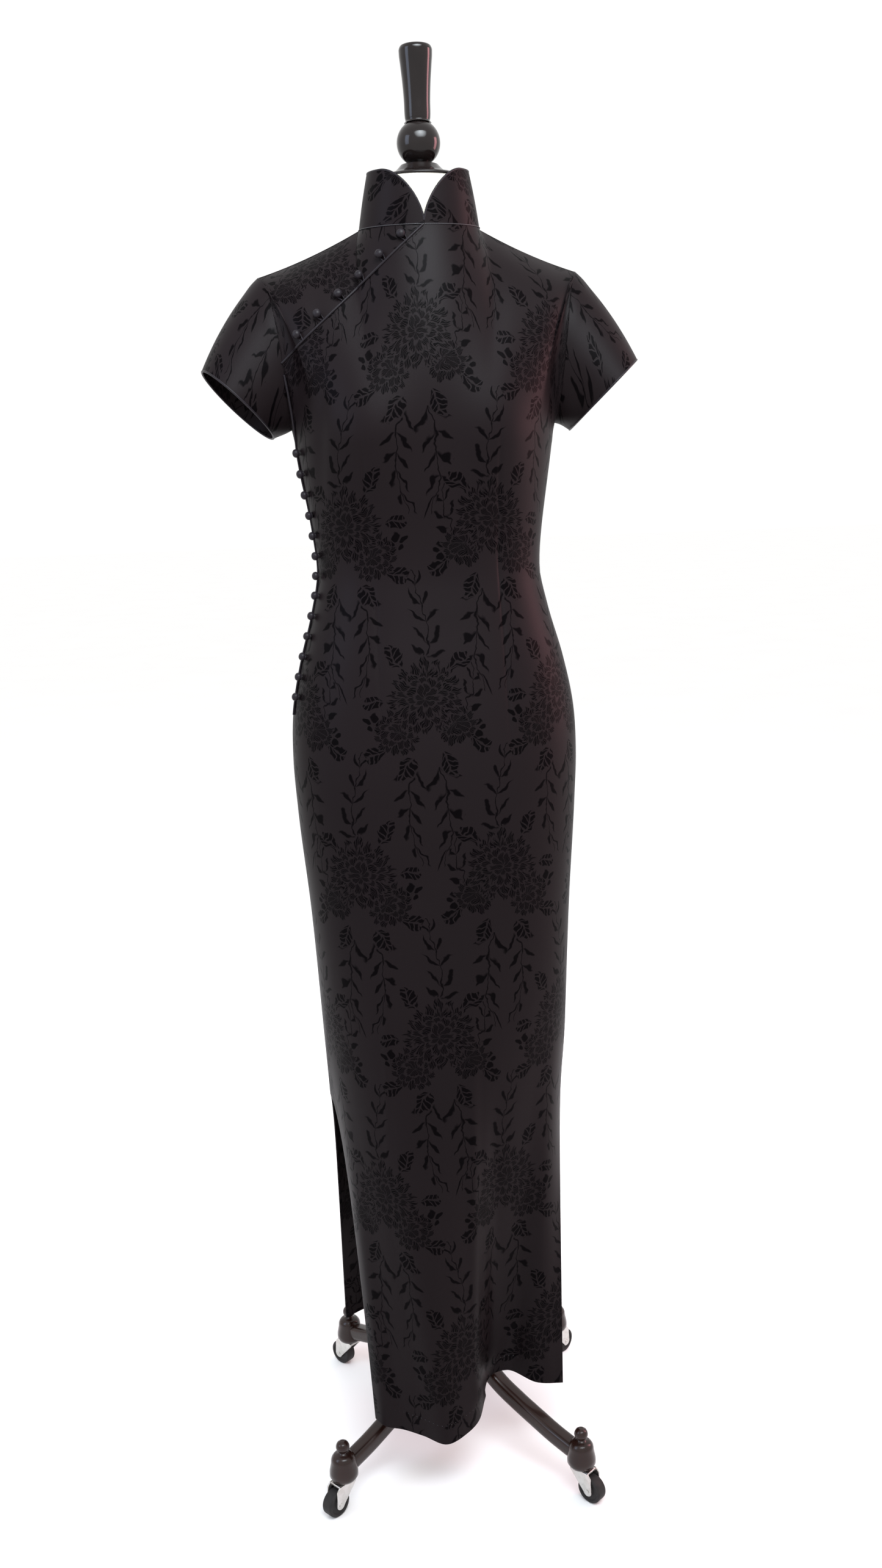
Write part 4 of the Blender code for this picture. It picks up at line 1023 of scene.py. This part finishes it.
def fine_fork(name, angle, steel):
    """Pressed steel hood over the wheel, with two cheeks, rounded edges and its axle."""
    half_gap = WHEEL_WIDTH / 2 + FORK_CLEARANCE
    half_out = half_gap + FORK_CHEEK
    plate_z = FORK_TOP_Z - FORK_PLATE
    side_view = [(-0.0105, FORK_TOP_Z), (-0.0112, plate_z)]
    for way in np.radians(200 + 160 * np.arange(17) / 16):
        side_view.append((CASTER_TRAIL + FORK_BOSS * cos(way), AXLE_Z + FORK_BOSS * sin(way)))
    side_view += [(CASTER_TRAIL + 0.0048, plate_z - 0.002), (0.0165, FORK_TOP_Z)]
    shell = bmesh.new()
    for low, high in ((-half_out, -half_gap), (half_gap, half_out)):
        add_prism(shell, [(x, low, z) for x, z in side_view], [(x, high, z) for x, z in side_view])
    plate = ((-0.0108, -half_gap), (0.0160, -half_gap), (0.0160, half_gap), (-0.0108, half_gap))
    add_prism(shell, [(x, y, plate_z) for x, y in plate], [(x, y, FORK_TOP_Z) for x, y in plate])
    bmesh.ops.recalc_face_normals(shell, faces=shell.faces)
    edges = [edge for edge in shell.edges if len(edge.link_faces) == 2
             and edge.calc_face_angle() > radians(50)]
    bmesh.ops.bevel(shell, geom=edges, offset=0.0005, segments=3, profile=0.5, affect="EDGES")
    turn = Matrix.Translation((CASTER_TRAIL, 0.0, AXLE_Z)) @ Matrix.Rotation(pi / 2, 4, "X")
    bmesh.ops.create_cone(shell, cap_ends=True, segments=24, radius1=AXLE_RADIUS,
                          radius2=AXLE_RADIUS, depth=2 * half_out + 0.0012, matrix=turn)
    mesh = bpy.data.meshes.new(name)
    shell.to_mesh(mesh)
    shell.free()
    item = shaded_object(name, mesh, steel, 40)
    place = Matrix.Translation(direction(angle) * POST_REACH)
    item.matrix_world = place @ Matrix.Rotation(radians(angle), 4, "Z")
    return item


def fine_wheel(name, angle, rubber):
    half = WHEEL_WIDTH / 2
    rims = [(AXLE_RADIUS + 0.0004, -half), (0.0060, -half), (0.0068, -half + 0.0012),
            (0.0120, -half + 0.0012), (0.0130, -half)]
    rims += [(WHEEL_RADIUS * 0.985 - TREAD_ROUND * (1 - sin(way)),
              -half + TREAD_ROUND * (1 - cos(way))) for way in np.linspace(0, pi / 2, 7)]
    rims += [(radius, -along) for radius, along in reversed(rims)]
    turn = Matrix.Rotation(radians(angle), 4, "Z") @ Matrix.Rotation(pi / 2, 4, "X")
    centre = direction(angle) * (POST_REACH + CASTER_TRAIL) + np.array([0.0, 0.0, AXLE_Z])
    return turned(name, rims, centre, rubber, bend=turn)


def stand(materials):
    wood = materials["wood"]
    hub = turned("hub_turned", smooth_profile(HUB_PROFILE, 4), (0, 0, 0), wood)
    finish_piece(hub, "wood", "stand_hub")
    for name, angle in LEG_ANGLES.items():
        finish_piece(fine_leg(f"leg_{name}", angle, wood), "wood", f"stand_leg_{name}")
        centre = direction(angle) * POST_REACH
        post = turned(f"post_{name}", smooth_profile(POST_PROFILE, 4), centre, wood)
        finish_piece(post, "wood", f"stand_post_{name}")
        fork = fine_fork(f"fork_{name}", angle, materials["steel"])
        finish_piece(fork, "steel", f"caster_fork_{name}", body=f"caster_{name}")
        wheel = fine_wheel(f"wheel_{name}", angle, materials["rubber"])
        finish_piece(wheel, "rubber", f"caster_wheel_{name}", body=f"wheel_{name}")


# Materials

def set_socket(tree, socket, value):
    """Links a socket to another one, or gives it a value."""
    if isinstance(value, bpy.types.NodeSocket):
        tree.links.new(value, socket)
    else:
        socket.default_value = value


def add_node(tree, kind, **inputs):
    node = tree.nodes.new(kind)
    for name, value in inputs.items():
        set_socket(tree, node.inputs[name], value)
    return node


def operate(tree, kind, operation, values):
    """New node of Math or Vector Math with its inputs in their order."""
    node = tree.nodes.new(kind)
    node.operation = operation
    for socket, value in zip(node.inputs, values):
        set_socket(tree, socket, value)
    return node


class Maths:
    """Writes chains of Math nodes into a node tree."""

    def __init__(self, tree):
        self.tree = tree

    def __call__(self, operation, *values, clamp=False):
        node = operate(self.tree, "ShaderNodeMath", operation, values)
        node.use_clamp = clamp
        return node.outputs[0]

    def add(self, a, b):
        return self("ADD", a, b)

    def sub(self, a, b):
        return self("SUBTRACT", a, b)

    def mul(self, a, b):
        return self("MULTIPLY", a, b)

    def absolute(self, a):
        return self("ABSOLUTE", a)

    def step(self, a, steepness, shift=0.5):
        """Slope from 0 to 1 where a goes through zero."""
        return self("MULTIPLY_ADD", a, steepness, shift, clamp=True)

    def both(self, *values):
        result = values[0]
        for value in values[1:]:
            result = self.mul(result, value)
        return result

    def place(self, vector, x, y, angle, length, width):
        """Coordinates in an element's own frame, in units of its length and width."""
        node = self.tree.nodes.new("ShaderNodeMapping")
        node.vector_type = "TEXTURE"
        set_socket(self.tree, node.inputs["Vector"], vector)
        node.inputs["Location"].default_value = (x, y, 0.0)
        node.inputs["Rotation"].default_value = (0.0, 0.0, radians(angle))
        node.inputs["Scale"].default_value = (length, width, 1.0)
        parts = add_node(self.tree, "ShaderNodeSeparateXYZ", Vector=node.outputs["Vector"])
        return parts.outputs["X"], parts.outputs["Y"]

    def from_middle(self, across, up):
        """Distance from an element's middle."""
        return self("SQRT", self.add(self.mul(across, across), self.mul(up, up)))


# Woven motifs in one repeat, in metres from its middle
REPEAT = (0.172, 0.410)
REPEAT_START = (0.020, -1.405)
MOTIF_WARP = 0.021
LEAVES = (
    (0.030, 0.062, 48, 0.036, 0.0088), (-0.024, 0.070, 122, 0.036, 0.0088),
    (-0.044, 0.030, 168, 0.034, 0.0085), (0.048, -0.014, -24, 0.036, 0.0082),
    (-0.046, -0.020, 202, 0.036, 0.0088), (0.016, -0.030, -58, 0.036, 0.0100),
    (-0.018, -0.032, 246, 0.036, 0.0100),
)
SPRIGS = (
    (0.004, 0.074, 80, 0.104, 0.024, 0.35), (0.014, -0.050, -72, 0.116, 0.026, -0.30),
    (-0.016, -0.050, 250, 0.104, 0.025, 0.42), (0.046, 0.016, 60, 0.078, 0.019, 0.50),
)
BLOSSOMS = ((0.060, -0.004, 0.0125), (-0.062, 0.010, 0.0115))
FLOWERS = (
    (-0.034, -0.004, 0.029, ((1.00, 14, 0.3), (0.70, 11, 0.0), (0.38, 7, 0.4))),
    (0.036, 0.000, 0.025, ((1.00, 12, 0.1), (0.58, 8, 0.5))),
    (0.001, 0.034, 0.045, ((1.00, 18, 0.0), (0.79, 15, 0.5), (0.56, 12, 0.2), (0.33, 8, 0.6))),
)


def repeat_place(m, u, v):
    """Distance from the middle of the nearest repeat, on a half-drop grid of diamonds."""
    wide, tall = REPEAT
    first, second = [[m.mul(m.sub(m("FRACT", m("MULTIPLY_ADD", place, 1 / size, start)), 0.5), size)
                      for place, size in ((u, wide), (v, tall))] for start in (0.5, 0.0)]
    reach = m.add(m.mul(m.absolute(first[0]), 2 / wide), m.mul(m.absolute(first[1]), 2 / tall))
    inside = m("LESS_THAN", reach, 1.0)
    p = m.add(m.mul(first[0], inside), m.mul(m.mul(second[0], -1.0), m.sub(1.0, inside)))
    q = m.add(m.mul(first[1], inside), m.mul(second[1], m.sub(1.0, inside)))
    return p, q


def leaf(m, vector, x, y, angle, length, width):
    along, across = m.place(vector, x, y, angle, length, width)
    outline = m.mul(m.mul(along, m.sub(1.0, along)), 4.0)
    room = m.sub(outline, m.absolute(across))
    cover = m.step(room, -9.0, -0.6)
    vein = m("MULTIPLY_ADD", m.absolute(across), 9.0, -0.55, clamp=True)
    ribs = m("SINE", m("MULTIPLY_ADD", along, 34.0, m.mul(m.absolute(across), -7.0)))
    ribs = m.step(ribs, 3.0, 2.6)
    return cover, m.both(m.step(room, 9.0, 0.0), vein, ribs)


def sprig(m, vector, x, y, angle, length, width, bend):
    along, across = m.place(vector, x, y, angle, length, width)
    centre = m.mul(m.mul(along, along), bend * length / width)
    off = m.absolute(m.sub(across, centre))
    off = m("DIVIDE", off, m("MULTIPLY_ADD", along, -0.55, 1.0))
    cell = m("FRACT", m.mul(along, 5.0))
    slant = m.absolute(m.sub(cell, m("MULTIPLY_ADD", off, 0.82, 0.09)))
    room = m.sub(m.mul(m.mul(off, m.sub(1.0, off)), 0.72), slant)
    span = m("GREATER_THAN", m.mul(along, m.sub(1.0, along)), 0.0)
    stem = m.step(m.sub(0.035, off), 24.0, 0.5)
    shape = m("MAXIMUM", m.step(room, 12.0, 0.2), stem)
    return m.mul(shape, span)


def flower(m, vector, x, y, radius, rings):
    """Rings of notched petals round one middle, the outermost first."""
    across, up = m.place(vector, x, y, 0, radius, radius)
    out = m.from_middle(across, up)
    turn = m.mul(m("ARCTAN2", up, across), 1 / (2 * pi))
    layers = []
    for size, petals, phase in rings:
        part = m("FRACT", m("MULTIPLY_ADD", turn, float(petals), phase))
        part = m.absolute(m.sub(part, 0.5))
        round_off = m.mul(m.mul(part, part), -1.05 * size)
        notch = m.mul(m("MAXIMUM", m.sub(0.10, part), 0.0), -0.9 * size)
        room = m.sub(m.add(m.add(round_off, notch), size), out)
        cover = m.step(room, -26.0, -0.9)
        gap = m.mul(m.sub(0.5, part), out)
        split = m("MULTIPLY_ADD", gap, 60.0 / size**0.5, -0.45, clamp=True)
        rays = m.step(m("COSINE", m.mul(part, 38.0)), 4.0, 3.2)
        layers.append((cover, m.both(m.step(room, 26.0, 0.0), split, rays)))
    return layers


def blossom(m, vector, x, y, radius):
    across, up = m.place(vector, x, y, 17, radius, radius)
    out = m.from_middle(across, up)
    turn = m("MULTIPLY_ADD", m("ARCTAN2", up, across), 5 / (2 * pi), 0.5)
    part = m.absolute(m.sub(m("FRACT", turn), 0.5))
    room = m.sub(m.sub(1.0, m.mul(m.mul(part, part), 1.7)), out)
    split = m("MULTIPLY_ADD", m.mul(m.sub(0.5, part), out), 16.0, -0.5, clamp=True)
    eye = m("MULTIPLY_ADD", m.absolute(m.sub(out, 0.24)), 14.0, -0.4, clamp=True)
    return m.step(room, -10.0, -0.6), m.both(m.step(room, 10.0, 0.0), split, eye)


def jacquard_group():
    """Node group from a place on the cloth to how much of the woven motif is there."""
    tree = bpy.data.node_groups.new("woven_motif", "ShaderNodeTree")
    tree.interface.new_socket("Place", in_out="INPUT", socket_type="NodeSocketVector")
    tree.interface.new_socket("Motif", in_out="OUTPUT", socket_type="NodeSocketFloat")
    entry = tree.nodes.new("NodeGroupInput")
    leave = tree.nodes.new("NodeGroupOutput")
    m = Maths(tree)
    split = add_node(tree, "ShaderNodeSeparateXYZ", Vector=entry.outputs[0])
    u = m.add(split.outputs["X"], REPEAT_START[0])
    v = m.add(split.outputs["Y"], REPEAT_START[1])
    p, q = repeat_place(m, u, v)
    place = add_node(tree, "ShaderNodeCombineXYZ", X=p, Y=q).outputs[0]
    noise = add_node(tree, "ShaderNodeTexNoise", Scale=48.0, Detail=2.5, Vector=place)
    centred = operate(tree, "ShaderNodeVectorMath", "SUBTRACT",
                      (noise.outputs["Color"], (0.5, 0.5, 0.5)))
    warp = operate(tree, "ShaderNodeVectorMath", "MULTIPLY_ADD",
                   (centred.outputs[0], (MOTIF_WARP, MOTIF_WARP, 0.0), place))
    vector = warp.outputs[0]
    motif = 0.0
    for row in SPRIGS:
        motif = m("MAXIMUM", motif, sprig(m, vector, *row))
    layers = [leaf(m, vector, *row) for row in LEAVES]
    layers += [blossom(m, vector, *row) for row in BLOSSOMS]
    for row in FLOWERS:
        layers += flower(m, vector, *row)
    for cover, shape in layers:
        motif = m("MULTIPLY_ADD", motif, cover, shape)
    tree.links.new(m("MINIMUM", motif, 1.0), leave.inputs[0])
    return tree


def new_material(name, colour, roughness, **sockets):
    material = bpy.data.materials.new(name)
    material.use_nodes = True
    shader = material.node_tree.nodes["Principled BSDF"]
    shader.inputs["Base Color"].default_value = (*colour, 1.0)
    shader.inputs["Roughness"].default_value = roughness
    for socket, value in sockets.items():
        shader.inputs[socket.replace("_", " ")].default_value = value
    return material, shader


def colour_mix(tree, factor, first, second):
    node = tree.nodes.new("ShaderNodeMix")
    node.data_type = "RGBA"
    tree.links.new(factor, node.inputs["Factor"])
    sockets = [entry for entry in node.inputs if entry.type == "RGBA" and entry.name in "AB"]
    for socket, value in zip(sockets, (first, second)):
        if isinstance(value, tuple):
            value = (*value, 1.0)
        set_socket(tree, socket, value)
    return [entry for entry in node.outputs if entry.type == "RGBA"][0]


def texture_noise(tree, vector, scale, detail=2.0, stretch=(1.0, 1.0, 1.0)):
    mapping = add_node(tree, "ShaderNodeMapping", Vector=vector, Scale=stretch)
    return add_node(tree, "ShaderNodeTexNoise", Scale=scale, Detail=detail,
                    Vector=mapping.outputs[0]).outputs["Fac"]


def bump(tree, shader, height, strength, distance):
    node = add_node(tree, "ShaderNodeBump", Strength=strength, Distance=distance, Height=height)
    tree.links.new(node.outputs[0], shader.inputs["Normal"])


def cloth_places(tree):
    node = tree.nodes.new("ShaderNodeUVMap")
    node.uv_map = "UVMap"
    return node.outputs[0]


def jacquard_material():
    material, shader = new_material("black_jacquard_cloth", (0.010, 0.007, 0.008), 0.42,
                                    Specular_IOR_Level=0.12)
    tree = material.node_tree
    places = cloth_places(tree)
    group = tree.nodes.new("ShaderNodeGroup")
    group.node_tree = jacquard_group()
    tree.links.new(places, group.inputs[0])
    motif = group.outputs[0]
    m = Maths(tree)
    coords = tree.nodes.new("ShaderNodeTexCoord").outputs["Object"]
    drift = texture_noise(tree, coords, 5.0)
    ground = colour_mix(tree, drift, (0.0056, 0.0036, 0.0042), (0.0078, 0.0052, 0.0060))
    shade = colour_mix(tree, motif, ground, (0.0011, 0.0007, 0.0010))
    tree.links.new(shade, shader.inputs["Base Color"])
    tree.links.new(m("MULTIPLY_ADD", motif, -0.05, 0.45), shader.inputs["Roughness"])
    tree.links.new(m("MULTIPLY_ADD", motif, -0.045, 0.07), shader.inputs["Specular IOR Level"])
    weave = texture_noise(tree, places, 1500.0, 0.0, (1.0, 0.35, 1.0))
    bump(tree, shader, m.add(m.mul(motif, 0.5), m.mul(weave, 0.35)), 0.35, 0.0004)
    return material


def grained_material(name, plain, roughness, grain, tints, gloss=None, relief=None,
                     relief_grain=None, along_uv=False, **sockets):
    """Material whose colour, roughness and relief follow a noise where they are given."""
    material, shader = new_material(name, plain, roughness, **sockets)
    tree = material.node_tree
    if along_uv:
        coords = cloth_places(tree)
    else:
        coords = tree.nodes.new("ShaderNodeTexCoord").outputs["Object"]
    share = texture_noise(tree, coords, *grain)
    tree.links.new(colour_mix(tree, share, *tints), shader.inputs["Base Color"])
    if gloss is not None:
        tree.links.new(Maths(tree)("MULTIPLY_ADD", share, *gloss), shader.inputs["Roughness"])
    if relief is not None:
        height = share if relief_grain is None else texture_noise(tree, coords, *relief_grain)
        bump(tree, shader, height, *relief)
    return material


def make_materials():
    return {
        "cloth": jacquard_material(),
        "satin": grained_material(
            "black_satin_cord", (0.012, 0.010, 0.013), 0.40, (900.0, 1.0),
            ((0.0070, 0.0056, 0.0072), (0.0160, 0.0130, 0.0160)), relief=(0.4, 0.0003),
            Specular_IOR_Level=0.14),
        "thread": grained_material(
            "black_thread", (0.010, 0.009, 0.011), 0.5, (2500.0, 1.0),
            ((0.008, 0.007, 0.009), (0.016, 0.014, 0.018))),
        "padding": grained_material(
            "cream_cotton", (0.66, 0.62, 0.55), 0.85, (14.0, 3.0),
            ((0.58, 0.53, 0.45), (0.72, 0.69, 0.62)), relief=(0.5, 0.0004),
            relief_grain=(1400.0, 1.0), Specular_IOR_Level=0.2),
        "lacquer": grained_material(
            "black_lacquer_gloss", (0.012, 0.009, 0.009), 0.12, (30.0, 4.0),
            ((0.0050, 0.0036, 0.0036), (0.0110, 0.0080, 0.0075)), gloss=(0.14, 0.06),
            Specular_IOR_Level=0.22, Coat_Weight=0.25, Coat_Roughness=0.04, Coat_IOR=1.35),
        "wood": grained_material(
            "dark_varnished_wood", (0.030, 0.012, 0.009), 0.25, (190.0, 4.0, (1.0, 0.10, 1.0)),
            ((0.0050, 0.0022, 0.0018), (0.0230, 0.0085, 0.0060)), gloss=(0.18, 0.16),
            relief=(0.12, 0.0003), along_uv=True,
            Specular_IOR_Level=0.25, Coat_Weight=0.3, Coat_Roughness=0.10, Coat_IOR=1.35),
        "steel": grained_material(
            "bright_steel_plate", (0.62, 0.61, 0.60), 0.25, (120.0, 4.0),
            ((0.42, 0.40, 0.37), (0.70, 0.69, 0.68)), gloss=(0.30, 0.14), Metallic=1.0),
        "rubber": grained_material(
            "dark_rubber_tread", (0.022, 0.021, 0.022), 0.6, (160.0, 4.0),
            ((0.009, 0.008, 0.009), (0.026, 0.024, 0.023)), relief=(0.3, 0.0003),
            Specular_IOR_Level=0.2),
    }


# Stage, light and camera

def area_light(name, place, target, size, power, colour, spread):
    light = bpy.data.lights.new(name, "AREA")
    light.shape = "RECTANGLE"
    light.size, light.size_y = size
    light.energy = power
    light.spread = radians(spread)
    light.color = colour
    item = new_object(name, light)
    item.location = place
    aim = Vector(target) - Vector(place)
    item.rotation_euler = aim.to_track_quat("-Z", "Y").to_euler()


def studio():
    """Pale floor in a pale room, with one light above and one at each side."""
    mesh = bpy.data.meshes.new("floor")
    corners = ((-1, -1), (1, -1), (1, 1), (-1, 1))
    mesh.from_pydata([(FLOOR_SIZE * x, FLOOR_SIZE * y, 0) for x, y in corners], [], [(0, 1, 2, 3)])
    mesh.materials.append(grained_material(
        "pale_floor", (0.90, 0.90, 0.90), 0.9, (3.0, 3.0),
        ((0.94, 0.94, 0.94), (0.97, 0.97, 0.97)), Specular_IOR_Level=0.0))
    new_object("floor", mesh)
    world = bpy.data.worlds.new("pale_room")
    bpy.context.scene.world = world
    world.use_nodes = True
    background = world.node_tree.nodes["Background"]
    background.inputs["Color"].default_value = (1.0, 0.995, 0.99, 1.0)
    background.inputs["Strength"].default_value = 1.05
    area_light("softbox_top", (0.20, -1.40, 2.60), (0, -0.1, 1.36), (1.8, 1.0), 14,
               (0.88, 0.95, 1.0), 60)
    area_light("window_left", (-2.4, -1.0, 2.1), (0, 0, 1.25), (1.0, 1.8), 10,
               (0.62, 0.74, 1.0), 120)
    area_light("lamp_right", (2.3, 0.2, 1.6), (0, 0, 1.1), (0.7, 1.6), 14, (1.0, 0.42, 0.46), 120)


def photo_camera():
    forward = np.array([cos(CAMERA_PITCH) * sin(CAMERA_YAW), cos(CAMERA_PITCH) * cos(CAMERA_YAW),
                        -sin(CAMERA_PITCH)])
    level = np.array([cos(CAMERA_YAW), -sin(CAMERA_YAW), 0.0])
    upright = np.cross(level, forward)
    right = level * cos(CAMERA_ROLL) - upright * sin(CAMERA_ROLL)
    up = upright * cos(CAMERA_ROLL) + level * sin(CAMERA_ROLL)
    lens = bpy.data.cameras.new("photo_camera")
    lens.sensor_fit = "VERTICAL"
    lens.sensor_height = SENSOR_HEIGHT
    lens.lens = SENSOR_HEIGHT * CAMERA_FOCAL / IMAGE_HEIGHT
    lens.clip_start = 0.05
    lens.clip_end = 60.0
    item = new_object("photo_camera", lens)
    place = (CAMERA_DISTANCE * sin(CAMERA_AZIMUTH), -CAMERA_DISTANCE * cos(CAMERA_AZIMUTH),
             CAMERA_HEIGHT)
    columns = np.stack([right, up, -forward, place], axis=-1)
    item.matrix_world = Matrix([*columns.tolist(), (0.0, 0.0, 0.0, 1.0)])
    bpy.context.scene.camera = item


def main():
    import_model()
    photo_camera()
    studio()
    materials = make_materials()
    dress(materials)
    form(materials)
    stand(materials)
    bpy.context.scene.view_settings.view_transform = "Standard"


main()
